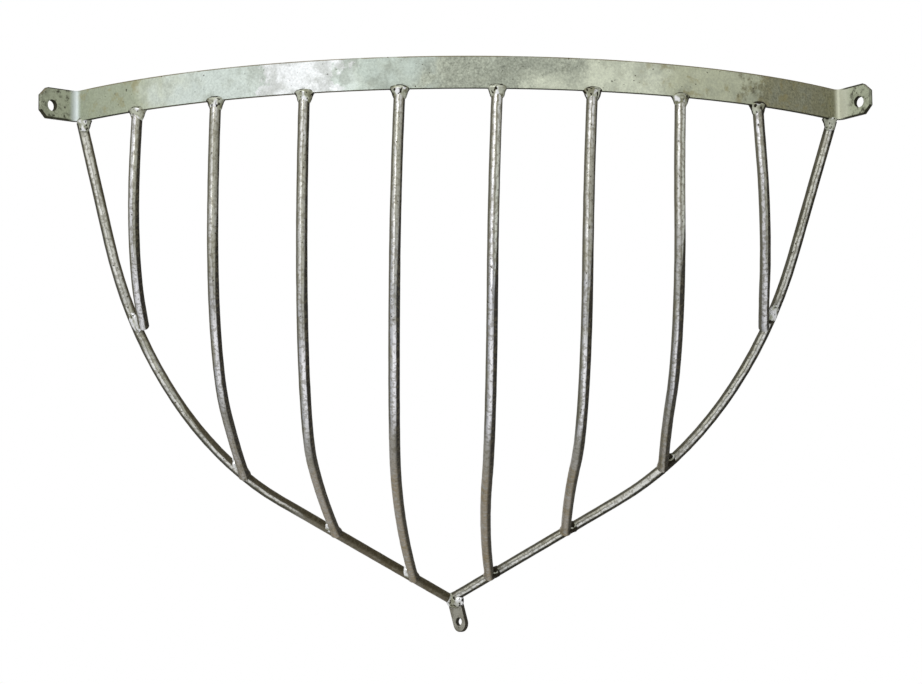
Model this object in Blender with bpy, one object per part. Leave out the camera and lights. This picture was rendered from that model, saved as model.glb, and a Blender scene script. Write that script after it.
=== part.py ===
"""Corner hay rack: a welded basket of round bar that hangs in the corner of two walls.

A flat band bent to a quarter circle makes the rim. Its two ends are bent out into lugs that lie
flat on the walls. One side rod runs down each wall and the two meet low in the corner, where a
drilled lug is welded square under the right one. Eight upright bars hang from the band, bend back
under the hay and end on the side rods. Every joint has a weld bead.

Frame: metres, Z up. The line where the two walls meet is the Z axis, and the room lies toward -Y.
The left wall is the plane X = Y, the right wall X = -Y. Z = 0 is half way up the band.
"""

import math

import bmesh
import bpy
from mathutils import Matrix, Vector, noise

# Clearances
GAP = 0.0003                     # between neighbouring pieces, where the weld joins them
WALL_GAP = 0.0002                # between a side rod and its wall

# Top band and its end lugs
RACK_RADIUS = 0.602              # corner line to the outer face of the band
BAND_HEIGHT = 0.0338
BAND_THICKNESS = 0.006
BAND_BEND_RADIUS = 0.005         # inside radius where the band turns out into a lug
LEFT_LUG_LENGTH = 0.048          # outer face of the band to the lug's tip
RIGHT_LUG_LENGTH = 0.043
LEFT_LUG_TILT = math.radians(-2)    # the lugs weren't bent quite level
RIGHT_LUG_TILT = math.radians(4)
LUG_CORNER_CUT = 0.0085
LUG_HOLE_DIAMETER = 0.0125
LUG_HOLE_DROP = 0.0026           # hole's middle below the lug's middle line
LEFT_LUG_HOLE_FROM_BAND = 0.0335
RIGHT_LUG_HOLE_FROM_BAND = 0.029

# Round bar, the same for the side rods and the upright bars
BAR_DIAMETER = 0.0122            # 12 mm bar with its zinc coat

# Side rods, each in a plane along its wall
ROD_TOP_SETBACK = 0.007          # rod's axis inside the band's outer face
APEX_DEPTH = 0.5240              # underside of the band to where the two rods meet
LEFT_ROD_LEAN = math.radians(17.0)      # upper leg, from plumb
LEFT_ROD_RISE = math.radians(21.6)      # lower leg, from level
LEFT_ROD_BEND_RADIUS = 0.438
RIGHT_ROD_LEAN = math.radians(21.2)
RIGHT_ROD_RISE = math.radians(22.5)
RIGHT_ROD_BEND_RADIUS = 0.470

# Upright bars, numbered from the left
FIRST_BAR_ANGLE = math.radians(-35.73)  # from the middle of the band
BAR_PITCH_ANGLE = math.radians(9.72)
INNER_BAR_BEND_RADIUS = 0.195
OUTER_BAR_BEND_RADIUS = 0.150
BAR_TAIL_RISES = (32, 22, 14, 16, 14.5, 13, 21, 30)    # degrees from level
BAR_FOOT_SHIFTS = (-0.002, 0.0175, 0.027, 0.022, 0.014, 0.0015, 0.011, 0.0245)    # to the right of its top
BAR_FOOT_LAPS = (0.0123, 0, 0, 0, 0, 0, 0, 0.006)    # foot's axis off the rod's axis, into the room
BAR_BOWS = (-0.0035, -0.010, -0.0135, -0.017, -0.015, -0.011, -0.008, -0.003)     # sideways, as welded
LAPPED_FOOT_OVERRUN = 0.002      # past the rod, where a foot lies beside it

# Bottom lug, flat on the right wall
BOTTOM_LUG_WIDTH = 0.0212
BOTTOM_LUG_THICKNESS = 0.0055
BOTTOM_LUG_LENGTH = 0.037
BOTTOM_LUG_LEAN = math.radians(18)
BOTTOM_LUG_FROM_CORNER = 0.002   # lug's nearest corner to the left wall
BOTTOM_LUG_HOLE_DIAMETER = 0.009
BOTTOM_LUG_HOLE_FROM_TIP = 0.013

# Weld beads between the bars and the band; a reach is how far the bead stands out past the bar
TOP_WELD_REACH = (0.0030, 0.0021)    # along the band and out from it
TOP_WELD_HALF_HEIGHT = 0.0078
TOP_WELD_DROP = 0.0024           # bead's middle below the band
ROD_WELD_STANDOFF = 0.0042       # bead's middle from the rod's axis, into the room

# Weld beads between the bars and the side rods
FOOT_WELD_REACH = (0.0032, 0.0027)    # along the rod and across it
FOOT_WELD_HALF_HEIGHT = 0.0086
LAP_WELD_REACH = 0.0032          # past the rod's side away from the hay, where a bar lies beside it
LAP_WELD_WIDTH = 0.0096
LAP_WELD_HALF_LENGTH = 0.0118
LAP_WELD_RISE = 0.0060           # bead's middle up the rod from the bar's foot

# Weld bead where the side rods and the bottom lug meet: half sizes along the wall, out from it and up
APEX_WELD_SIZE = (0.0085, 0.0066, 0.0090)
APEX_WELD_OFFSETS = (0.0135, 0.0090)    # from the left and the right wall
APEX_WELD_DROP = 0.0065
WELD_LUMPINESS = 0.10
WELD_LUMPS = 1.7                 # lumps across a bead
FOOT_WELD_PATTERN = 20           # so that no two beads have the same lumps
ROD_WELD_PATTERN = 40
APEX_WELD_PATTERN = 50
PATTERN_STEP = 7.0

# Fineness of the meshes
BAR_SIDES_RESOLUTION = 4         # 12 sides
HOLE_SIDES = 24
STRAIGHT_STEPS = 3
BEND_STEP = math.radians(7)
BAND_STEP = math.radians(2.5)
BAND_TURN_STEPS = 6
LUG_END_STEPS = 12
SMOOTH_ANGLE = math.radians(35)
DRILL_OVERRUN = 0.008            # past each face of a lug
LONGEST_BEND_SHARE = 0.95        # of the shorter leg beside a bend

# Worked out from the sizes above
BAR_RADIUS = BAR_DIAMETER / 2
SAWING_LENGTH = 2 * BAR_DIAMETER    # extra length of a bar, which its end cut takes off
BAND_MIDDLE_RADIUS = RACK_RADIUS - BAND_THICKNESS / 2
BAND_BOTTOM = -BAND_HEIGHT / 2
BAND_TURN_RADIUS = BAND_BEND_RADIUS + BAND_THICKNESS / 2    # to the middle of the band's thickness
BAND_TURN_OFFSET = BAND_THICKNESS / 2 + BAND_TURN_RADIUS    # turn's centre off the wall
BAND_TURN_REACH = BAND_MIDDLE_RADIUS + BAND_TURN_RADIUS     # turn's centre from the corner
LUG_START = math.sqrt(BAND_TURN_REACH ** 2 - BAND_TURN_OFFSET ** 2)
ROD_WALL_OFFSET = BAR_RADIUS + WALL_GAP
WALL_ANGLE = math.radians(45)
TOP_WELD_SIZE = (BAR_RADIUS + TOP_WELD_REACH[0], BAR_RADIUS + TOP_WELD_REACH[1], TOP_WELD_HALF_HEIGHT)
FOOT_WELD_SIZE = (BAR_RADIUS + FOOT_WELD_REACH[0], FOOT_WELD_HALF_HEIGHT, BAR_RADIUS + FOOT_WELD_REACH[1])
LAP_WELD_SIZE = (LAP_WELD_HALF_LENGTH, BAR_RADIUS + GAP, LAP_WELD_WIDTH / 2)
LAP_WELD_OUTSET = BAR_RADIUS + LAP_WELD_REACH - LAP_WELD_WIDTH / 2
LEFT = -1
RIGHT = 1


def clear_scene():
    """Remove whatever the file holds."""
    for old in list(bpy.data.objects):
        bpy.data.objects.remove(old, do_unlink=True)


def on_wall(side, along, offset, height):
    """A point given by its distance along a wall from the corner, its distance off that wall and its height."""
    x = side * (along - offset) * math.sin(WALL_ANGLE)
    y = -(along + offset) * math.cos(WALL_ANGLE)
    return Vector((x, y, height))


def along_wall(side, x, offset):
    """Distance along a wall from the corner of a point with this X that is this far off the wall."""
    return side * x / math.sin(WALL_ANGLE) + offset


def zinc(name, colour, roughness):
    """Hot-dip zinc, in a piece's own tone."""
    material = bpy.data.materials.new(name)
    material.use_nodes = True
    shader = material.node_tree.nodes["Principled BSDF"]
    shader.inputs["Base Color"].default_value = (*colour, 1.0)
    shader.inputs["Metallic"].default_value = 0.9
    shader.inputs["Roughness"].default_value = roughness
    return material


def add_object(name, mesh, material, location, parent):
    """Link a mesh as a named piece, placed under the rack's empty."""
    piece = bpy.data.objects.new(name, mesh)
    bpy.context.scene.collection.objects.link(piece)
    piece.parent = parent
    piece.location = location
    if material is not None:
        mesh.materials.clear()
        mesh.materials.append(material)
    return piece


def hide_cutter(piece):
    """Mark a clearance shape as a cutter, not a piece of the rack."""
    piece.display_type = "WIRE"
    piece.hide_render = True


def cut_away(piece, cutter):
    """Take a neighbour's clearance shape out of a piece."""
    cut = piece.modifiers.new("clear of " + cutter.name, "BOOLEAN")
    cut.operation = "DIFFERENCE"
    cut.solver = "EXACT"
    cut.object = cutter


def trim(mesh, point, normal):
    """Saw a closed mesh off square at a plane and close the cut; what lies along the normal goes."""
    bm = bmesh.new()
    bm.from_mesh(mesh)
    every = bm.verts[:] + bm.edges[:] + bm.faces[:]
    sawn = bmesh.ops.bisect_plane(bm, geom=every, plane_co=point, plane_no=normal, clear_outer=True)
    rim = [item for item in sawn["geom_cut"] if isinstance(item, bmesh.types.BMEdge)]
    bmesh.ops.contextual_create(bm, geom=rim)
    bmesh.ops.recalc_face_normals(bm, faces=bm.faces)
    bm.to_mesh(mesh)
    bm.free()


def round_bar(name, points, diameter, material, parent):
    """A bent round bar along a line of points, as a piece whose origin is the first point."""
    curve = bpy.data.curves.new(name, "CURVE")
    curve.dimensions = "3D"
    curve.bevel_depth = diameter / 2
    curve.bevel_resolution = BAR_SIDES_RESOLUTION
    curve.use_fill_caps = True
    spline = curve.splines.new("POLY")
    spline.points.add(len(points) - 1)
    for knot, point in zip(spline.points, points):
        knot.co = (*(point - points[0]), 1.0)
    swept = bpy.data.objects.new(name + "_line", curve)
    bpy.context.scene.collection.objects.link(swept)
    depsgraph = bpy.context.evaluated_depsgraph_get()
    mesh = bpy.data.meshes.new_from_object(swept.evaluated_get(depsgraph))
    bpy.data.objects.remove(swept, do_unlink=True)
    bpy.data.curves.remove(curve)
    mesh.name = name
    mesh.shade_smooth()
    mesh.set_sharp_from_angle(angle=SMOOTH_ANGLE)
    return add_object(name, mesh, material, points[0], parent)


def lug_rise(tilt, along):
    """How far a tilted lug has climbed at a distance from the corner."""
    return math.tan(tilt) * (along - LUG_START)


def band_half(side, lug_length, lug_tilt):
    """Stations from the middle of the band to one lug's tip: plan point, outer normal, lowest and highest Z."""
    arc_end = WALL_ANGLE - math.asin(BAND_TURN_OFFSET / BAND_TURN_REACH)
    low, high = BAND_BOTTOM, BAND_BOTTOM + BAND_HEIGHT
    stations = []

    arc_steps = math.ceil(arc_end / BAND_STEP)
    for step in range(arc_steps):
        angle = arc_end * step / arc_steps
        outward = Vector((side * math.sin(angle), -math.cos(angle)))
        stations.append((outward * BAND_MIDDLE_RADIUS, outward, low, high))

    centre = Vector((side * math.sin(arc_end), -math.cos(arc_end))) * BAND_TURN_REACH
    turn_start = math.pi / 2 + arc_end
    turn_end = math.pi / 2 - WALL_ANGLE
    for step in range(BAND_TURN_STEPS + 1):
        angle = turn_start + (turn_end - turn_start) * step / BAND_TURN_STEPS
        inward = Vector((side * math.cos(angle), math.sin(angle)))
        stations.append((centre + inward * BAND_TURN_RADIUS, -inward, low, high))

    tip = RACK_RADIUS + lug_length
    off_wall = on_wall(side, 0.0, 1.0, 0.0).to_2d()
    for along, cut in ((tip - LUG_CORNER_CUT, 0.0), (tip, LUG_CORNER_CUT)):
        rise = lug_rise(lug_tilt, along)
        plan = on_wall(side, along, BAND_THICKNESS / 2, 0.0).to_2d()
        stations.append((plan, off_wall, low + rise + cut, high + rise - cut))
    return stations


def band_mesh(name, growth):
    """The band with both lugs, grown by a clearance on every side for use as a cutter."""
    left = band_half(LEFT, LEFT_LUG_LENGTH, LEFT_LUG_TILT)
    right = band_half(RIGHT, RIGHT_LUG_LENGTH, RIGHT_LUG_TILT)
    bm = bmesh.new()
    rings = []
    for plan, outward, low, high in left[:0:-1] + right:
        half = BAND_THICKNESS / 2 + growth
        front = plan + outward * half
        back = plan - outward * half
        corners = ((front, low - growth), (front, high + growth), (back, high + growth), (back, low - growth))
        rings.append([bm.verts.new((*spot, height)) for spot, height in corners])
    for ring, following in zip(rings, rings[1:]):
        for side in range(4):
            after = (side + 1) % 4
            bm.faces.new((ring[side], ring[after], following[after], following[side]))
    bm.faces.new(rings[0])
    bm.faces.new(rings[-1])
    bmesh.ops.recalc_face_normals(bm, faces=bm.faces)
    mesh = bpy.data.meshes.new(name)
    bm.to_mesh(mesh)
    bm.free()
    return mesh


def hole_cutter(name, diameter, thickness, middle, across, parent):
    """A round drill shape through a flat lug, along the lug's normal."""
    bm = bmesh.new()
    bmesh.ops.create_cone(
        bm, cap_ends=True, segments=HOLE_SIDES, radius1=diameter / 2, radius2=diameter / 2,
        depth=thickness + 2 * DRILL_OVERRUN
    )
    mesh = bpy.data.meshes.new(name)
    bm.to_mesh(mesh)
    bm.free()
    drill = add_object(name, mesh, None, middle, parent)
    drill.rotation_euler = across.to_track_quat("Z", "Y").to_euler()
    hide_cutter(drill)
    return drill


def rounded_corner(start, corner, finish, radius):
    """A line from start to finish that turns at a corner with a bend radius, as far as its legs allow."""
    back = (start - corner).normalized()
    ahead = (finish - corner).normalized()
    half_turn = (math.pi - back.angle(ahead)) / 2
    shorter_leg = min((start - corner).length, (finish - corner).length)
    reach = min(radius * math.tan(half_turn), LONGEST_BEND_SHARE * shorter_leg)
    radius = reach / math.tan(half_turn)
    centre = corner + (back + ahead).normalized() * (radius / math.cos(half_turn))
    spoke = corner + back * reach - centre
    turn = 2 * half_turn if back.cross(ahead) < 0 else -2 * half_turn
    steps = math.ceil(2 * half_turn / BEND_STEP)
    line = [start]
    for step in range(steps + 1):
        line.append(centre + Matrix.Rotation(turn * step / steps, 2) @ spoke)
    line.append(finish)
    return line


def rod_line(lean, rise, bend_radius):
    """A side rod's axis as (distance from the corner, height) from the band down to the corner."""
    top = Vector((RACK_RADIUS - ROD_TOP_SETBACK, BAND_BOTTOM))
    end = Vector((ROD_WALL_OFFSET, BAND_BOTTOM - APEX_DEPTH))
    span = top - end
    upper_leg = (span.y - span.x * math.tan(rise)) / (math.cos(lean) - math.sin(lean) * math.tan(rise))
    corner = top - Vector((math.sin(lean), math.cos(lean))) * upper_leg
    return rounded_corner(top, corner, end, bend_radius)


def stretched(points, before, after):
    """The same line with its two end stretches made longer."""
    start = points[0] + (points[0] - points[1]).normalized() * before
    finish = points[-1] + (points[-1] - points[-2]).normalized() * after
    return [start] + points[1:-1] + [finish]


def rod_height(line, distance):
    """Height of a side rod's axis at a distance from the corner."""
    for upper, lower in zip(line, line[1:]):
        if lower.x <= distance <= upper.x:
            share = (distance - lower.x) / (upper.x - lower.x)
            return lower.y + share * (upper.y - lower.y)
    return line[-1].y


def side_rod(name, side, line, growth, material, parent):
    """One side rod: sawn level under the band, and mitred on the corner's bisecting plane."""
    flat = stretched(line, SAWING_LENGTH, SAWING_LENGTH)
    points = [on_wall(side, spot.x, ROD_WALL_OFFSET, spot.y) for spot in flat]
    rod = round_bar(name, points, BAR_DIAMETER + 2 * growth, material, parent)
    top_cut = Vector((0.0, 0.0, BAND_BOTTOM - GAP + growth))
    trim(rod.data, top_cut - points[0], Vector((0.0, 0.0, 1.0)))
    mitre_cut = Vector((side * (GAP / 2 - growth), 0.0, 0.0))
    trim(rod.data, mitre_cut - points[0], Vector((-side, 0.0, 0.0)))
    return rod


def bar_line(top, foot, rise, bend_radius, bow):
    """An upright bar's axis: a straight drop, a bend toward the corner and a straight tail to its foot."""
    start = Vector((top.y, top.z))
    finish = Vector((foot.y, foot.z))
    corner = Vector((top.y, foot.z + (foot.y - top.y) * math.tan(rise)))
    line = rounded_corner(start, corner, finish, bend_radius)
    profile = [start.lerp(line[1], step / STRAIGHT_STEPS) for step in range(STRAIGHT_STEPS)]
    profile += line[1:-2]
    profile += [line[-2].lerp(finish, step / STRAIGHT_STEPS) for step in range(STRAIGHT_STEPS + 1)]

    lengths = [0.0]
    for here, following in zip(profile, profile[1:]):
        lengths.append(lengths[-1] + (following - here).length)
    points = []
    for spot, length in zip(profile, lengths):
        share = length / lengths[-1]
        sideways = top.x + (foot.x - top.x) * share + bow * 4 * share * (1 - share)
        points.append(Vector((sideways, spot.x, spot.y)))
    return points


def upright_bar(name, points, overrun, growth, material, parent):
    """One upright bar, sawn level under the band."""
    whole = stretched(points, SAWING_LENGTH, overrun + growth)
    bar = round_bar(name, whole, BAR_DIAMETER + 2 * growth, material, parent)
    top_cut = Vector((0.0, 0.0, BAND_BOTTOM - GAP + growth))
    trim(bar.data, top_cut - bar.location, Vector((0.0, 0.0, 1.0)))
    return bar


def bottom_lug_mesh(name, growth):
    """The bottom lug in its own frame: axis down -Y from its square end, thickness up from Z = 0."""
    half = BOTTOM_LUG_WIDTH / 2 + growth
    round_start = BOTTOM_LUG_LENGTH - BOTTOM_LUG_WIDTH / 2
    outline = [Vector((half, growth)), Vector((-half, growth))]
    for step in range(LUG_END_STEPS + 1):
        angle = math.pi + math.pi * step / LUG_END_STEPS
        outline.append(Vector((math.cos(angle) * half, -round_start + math.sin(angle) * half)))
    bm = bmesh.new()
    face = bm.faces.new([bm.verts.new((spot.x, spot.y, -growth)) for spot in outline])
    pushed = bmesh.ops.extrude_face_region(bm, geom=[face])
    lifted = [item for item in pushed["geom"] if isinstance(item, bmesh.types.BMVert)]
    bmesh.ops.translate(bm, verts=lifted, vec=(0.0, 0.0, BOTTOM_LUG_THICKNESS + 2 * growth))
    bmesh.ops.recalc_face_normals(bm, faces=bm.faces)
    mesh = bpy.data.meshes.new(name)
    bm.to_mesh(mesh)
    bm.free()
    return mesh


def weld_bead(name, pattern, size, middle, along, outward, material, parent):
    """A lumpy bead of weld metal, its three half sizes along, out from and up the joint."""
    across = along.cross(outward).normalized()
    outward = across.cross(along).normalized()
    bm = bmesh.new()
    bmesh.ops.create_icosphere(bm, subdivisions=2, radius=1.0)
    for vert in bm.verts:
        lump = noise.noise(vert.co * WELD_LUMPS + Vector((PATTERN_STEP * pattern, 0.0, 0.0)))
        vert.co *= 1 + WELD_LUMPINESS * lump
        vert.co = Vector((vert.co.x * size[0], vert.co.y * size[1], vert.co.z * size[2]))
    mesh = bpy.data.meshes.new(name)
    bm.to_mesh(mesh)
    bm.free()
    mesh.shade_smooth()
    bead = add_object(name, mesh, material, middle, parent)
    axes = Matrix((along.normalized(), outward, across)).transposed()
    bead.rotation_euler = axes.to_euler()
    return bead


clear_scene()
rack = bpy.data.objects.new("corner_hay_rack", None)
bpy.context.scene.collection.objects.link(rack)

band_zinc = zinc("band_zinc", (0.55, 0.59, 0.55), 0.42)
rod_zinc = zinc("rod_zinc", (0.48, 0.48, 0.45), 0.38)
bar_zinc = zinc("bar_zinc", (0.52, 0.52, 0.50), 0.36)
lug_zinc = zinc("lug_zinc", (0.40, 0.41, 0.37), 0.45)
weld_zinc = zinc("weld_zinc", (0.60, 0.60, 0.60), 0.30)

# Top band, with a drilled lug at each end
band = add_object("top_band", band_mesh("top_band", 0.0), band_zinc, Vector(), rack)
band.data.set_sharp_from_angle(angle=SMOOTH_ANGLE)
band_clearance = add_object("band_clearance", band_mesh("band_clearance", GAP), None, Vector(), rack)
hide_cutter(band_clearance)
lug_holes = (
    (LEFT, "left", LEFT_LUG_HOLE_FROM_BAND, LEFT_LUG_TILT),
    (RIGHT, "right", RIGHT_LUG_HOLE_FROM_BAND, RIGHT_LUG_TILT),
)
for side, label, from_band, tilt in lug_holes:
    along = RACK_RADIUS + from_band
    middle = on_wall(side, along, BAND_THICKNESS / 2, lug_rise(tilt, along) - LUG_HOLE_DROP)
    off_wall = on_wall(side, 0.0, 1.0, 0.0)
    drill = hole_cutter(label + "_lug_drill", LUG_HOLE_DIAMETER, BAND_THICKNESS, middle, off_wall, rack)
    cut_away(band, drill)

# Side rods
rod_lines = {
    LEFT: rod_line(LEFT_ROD_LEAN, LEFT_ROD_RISE, LEFT_ROD_BEND_RADIUS),
    RIGHT: rod_line(RIGHT_ROD_LEAN, RIGHT_ROD_RISE, RIGHT_ROD_BEND_RADIUS),
}
rod_clearances = {}
for side, label in ((LEFT, "left"), (RIGHT, "right")):
    side_rod(label + "_side_rod", side, rod_lines[side], 0.0, rod_zinc, rack)
    rod_clearances[side] = side_rod(label + "_rod_clearance", side, rod_lines[side], GAP, None, rack)
    hide_cutter(rod_clearances[side])

# Upright bars with the welds at their tops and feet
bar_shapes = zip(BAR_TAIL_RISES, BAR_FOOT_SHIFTS, BAR_FOOT_LAPS, BAR_BOWS)
for index, (rise, foot_shift, lap, bow) in enumerate(bar_shapes):
    number = index + 1
    angle = FIRST_BAR_ANGLE + BAR_PITCH_ANGLE * index
    side = LEFT if angle < 0 else RIGHT
    outer = index in (0, len(BAR_TAIL_RISES) - 1)
    bend_radius = OUTER_BAR_BEND_RADIUS if outer else INNER_BAR_BEND_RADIUS
    outward = Vector((math.sin(angle), -math.cos(angle), 0.0))
    top = outward * BAND_MIDDLE_RADIUS + Vector((0.0, 0.0, BAND_BOTTOM))
    foot_distance = along_wall(side, top.x + foot_shift, ROD_WALL_OFFSET + lap)
    rod_spot = on_wall(side, foot_distance, ROD_WALL_OFFSET, rod_height(rod_lines[side], foot_distance))
    off_rod = on_wall(side, 0.0, 1.0, 0.0)
    foot = rod_spot + off_rod * lap
    points = bar_line(top, foot, math.radians(rise), bend_radius, bow)
    overrun = LAPPED_FOOT_OVERRUN if lap else 0.0

    bar = upright_bar(f"upright_bar_{number}", points, overrun, 0.0, bar_zinc, rack)
    cut_away(bar, rod_clearances[side])
    bar_clearance = upright_bar(f"bar_clearance_{number}", points, overrun, GAP, None, rack)
    hide_cutter(bar_clearance)

    along_band = Vector((math.cos(angle), math.sin(angle), 0.0))
    under_band = top - Vector((0.0, 0.0, TOP_WELD_DROP))
    top_weld = weld_bead(
        f"top_weld_{number}", number, TOP_WELD_SIZE, under_band, along_band, outward, weld_zinc, rack
    )
    cut_away(top_weld, band_clearance)
    cut_away(top_weld, bar_clearance)

    tail = (points[-2] - points[-1]).normalized()
    rod_ahead = on_wall(side, foot_distance + BAR_DIAMETER, ROD_WALL_OFFSET,
                        rod_height(rod_lines[side], foot_distance + BAR_DIAMETER))
    along_rod = (rod_ahead - rod_spot).normalized()
    if lap:
        outset = off_rod.cross(along_rod) * -side
        weld_middle = rod_spot + off_rod * BAR_RADIUS + along_rod * LAP_WELD_RISE
        weld_middle += outset * LAP_WELD_OUTSET
        weld_size, weld_outward = LAP_WELD_SIZE, off_rod
    else:
        weld_middle = rod_spot + tail * BAR_RADIUS
        weld_size, weld_outward = FOOT_WELD_SIZE, tail
    foot_weld = weld_bead(
        f"foot_weld_{number}", FOOT_WELD_PATTERN + number, weld_size, weld_middle, along_rod, weld_outward,
        weld_zinc, rack
    )
    cut_away(foot_weld, rod_clearances[side])
    cut_away(foot_weld, bar_clearance)

# Welds that hold the side rods to the band
for side, label in ((LEFT, "left"), (RIGHT, "right")):
    along_band = on_wall(side, 0.0, 1.0, 0.0)
    outward = on_wall(side, 1.0, 0.0, 0.0)
    middle = on_wall(side, RACK_RADIUS - ROD_TOP_SETBACK, ROD_WALL_OFFSET + ROD_WELD_STANDOFF, BAND_BOTTOM)
    middle.z -= TOP_WELD_DROP
    rod_weld = weld_bead(
        label + "_rod_weld", ROD_WELD_PATTERN + side, TOP_WELD_SIZE, middle, along_band, outward, weld_zinc, rack
    )
    cut_away(rod_weld, band_clearance)
    cut_away(rod_weld, rod_clearances[side])

# Bottom lug, square under the right side rod and flat on the right wall
lean = Matrix.Rotation(BOTTOM_LUG_LEAN, 2)
half_top = lean @ Vector((BOTTOM_LUG_WIDTH / 2, 0.0))
near_corner = Vector((BOTTOM_LUG_FROM_CORNER, 0.0))
rod_rise = RIGHT_ROD_RISE
under_rod = (ROD_WALL_OFFSET - near_corner.x) * math.tan(rod_rise) + (BAR_RADIUS + GAP) / math.cos(rod_rise)
near_corner.y = BAND_BOTTOM - APEX_DEPTH - under_rod
lug_top = near_corner + half_top
wall_axes = Matrix((on_wall(RIGHT, 1.0, 0.0, 0.0), Vector((0.0, 0.0, 1.0)), on_wall(RIGHT, 0.0, 1.0, 0.0))).transposed()
lug_place = on_wall(RIGHT, lug_top.x, 0.0, lug_top.y)
lug_turn = (wall_axes @ Matrix.Rotation(BOTTOM_LUG_LEAN, 3, "Z")).to_euler()
bottom_lug = add_object("bottom_lug", bottom_lug_mesh("bottom_lug", 0.0), lug_zinc, lug_place, rack)
bottom_lug.rotation_euler = lug_turn
bottom_lug.data.set_sharp_from_angle(angle=SMOOTH_ANGLE)
lug_clearance = add_object(
    "bottom_lug_clearance", bottom_lug_mesh("bottom_lug_clearance", GAP), None, lug_place, rack
)
lug_clearance.rotation_euler = lug_turn
hide_cutter(lug_clearance)
hole_down = lean @ Vector((0.0, BOTTOM_LUG_HOLE_FROM_TIP - BOTTOM_LUG_LENGTH))
hole_spot = lug_top + hole_down
drill = hole_cutter(
    "bottom_lug_drill", BOTTOM_LUG_HOLE_DIAMETER, BOTTOM_LUG_THICKNESS,
    on_wall(RIGHT, hole_spot.x, BOTTOM_LUG_THICKNESS / 2, hole_spot.y), on_wall(RIGHT, 0.0, 1.0, 0.0), rack
)
cut_away(bottom_lug, drill)

# Weld that joins both side rods and the bottom lug
from_left, from_right = APEX_WELD_OFFSETS
apex_middle = on_wall(RIGHT, from_left, from_right, BAND_BOTTOM - APEX_DEPTH - APEX_WELD_DROP)
apex_weld = weld_bead(
    "apex_weld", APEX_WELD_PATTERN, APEX_WELD_SIZE, apex_middle, on_wall(RIGHT, 1.0, 0.0, 0.0),
    on_wall(RIGHT, 0.0, 1.0, 0.0), weld_zinc, rack
)
cut_away(apex_weld, rod_clearances[LEFT])
cut_away(apex_weld, rod_clearances[RIGHT])
cut_away(apex_weld, lug_clearance)
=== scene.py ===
"""A corner hay rack, hot-dip galvanised after welding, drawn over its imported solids.

Metres, Z up. The line where the two walls meet is the Z axis and the room lies toward -Y. The left
wall is the plane X = Y, the right wall X = -Y, and Z = 0 is half way up the band.
"""

import math

import bmesh
import bpy
from mathutils import Matrix, Vector, noise


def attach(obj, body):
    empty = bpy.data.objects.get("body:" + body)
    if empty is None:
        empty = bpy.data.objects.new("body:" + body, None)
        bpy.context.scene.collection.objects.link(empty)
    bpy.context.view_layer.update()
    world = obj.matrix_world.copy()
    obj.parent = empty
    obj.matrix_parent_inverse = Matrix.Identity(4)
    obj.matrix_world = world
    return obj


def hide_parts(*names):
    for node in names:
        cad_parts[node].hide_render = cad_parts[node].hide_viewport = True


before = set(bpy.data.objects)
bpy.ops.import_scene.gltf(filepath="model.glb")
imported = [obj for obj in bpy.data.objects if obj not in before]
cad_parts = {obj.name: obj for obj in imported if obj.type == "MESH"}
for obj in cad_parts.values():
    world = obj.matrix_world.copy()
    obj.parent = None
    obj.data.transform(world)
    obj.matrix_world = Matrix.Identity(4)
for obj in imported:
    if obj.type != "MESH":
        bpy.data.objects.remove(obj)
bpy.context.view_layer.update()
LEFT = -1
RIGHT = 1


# Top band. One length of flat bar, rolled to a quarter circle, with both ends turned out flat
# against the walls, their corners snipped off and a bolt hole drilled. The zinc went on last, so
# every edge is a little rounded.

BAND_RADIUS = 0.602              # corner line to the band's outer face
BAND_HEIGHT = 0.0338
BAND_THICKNESS = 0.006
BAND_TURN = 0.008                # bend at a lug, to the middle of the thickness
BAND_EDGE_ROUND = 0.0013
BAND_FINENESS = math.radians(1.0)
TURN_FINENESS = 10
LUG_CORNER = 0.0085
LUG_HOLE = 0.0125
LUG_HOLE_DROP = 0.0026
LUG_SHAPES = (                   # wall, length past the band, tilt, hole's distance from the band
    (LEFT, 0.048, math.radians(-2), 0.0335),
    (RIGHT, 0.043, math.radians(4), 0.029),
)
DRILL_SIDES = 48
EDGE_ROUND_STEPS = 3
SHARP_EDGE = math.radians(33)    # an edge that turns by more than this is rounded
BAND_LOW = -BAND_HEIGHT / 2
BAND_MIDDLE = BAND_RADIUS - BAND_THICKNESS / 2
TURN_OFF_WALL = BAND_THICKNESS / 2 + BAND_TURN
TURN_FROM_CORNER = BAND_MIDDLE + BAND_TURN
LUG_START = math.sqrt(TURN_FROM_CORNER ** 2 - TURN_OFF_WALL ** 2)


def on_wall(side, along, off, height):
    """A point by its distance along a wall from the corner, its distance off the wall and its height."""
    half = math.sqrt(0.5)
    return Vector((side * (along - off) * half, -(along + off) * half, height))


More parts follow.
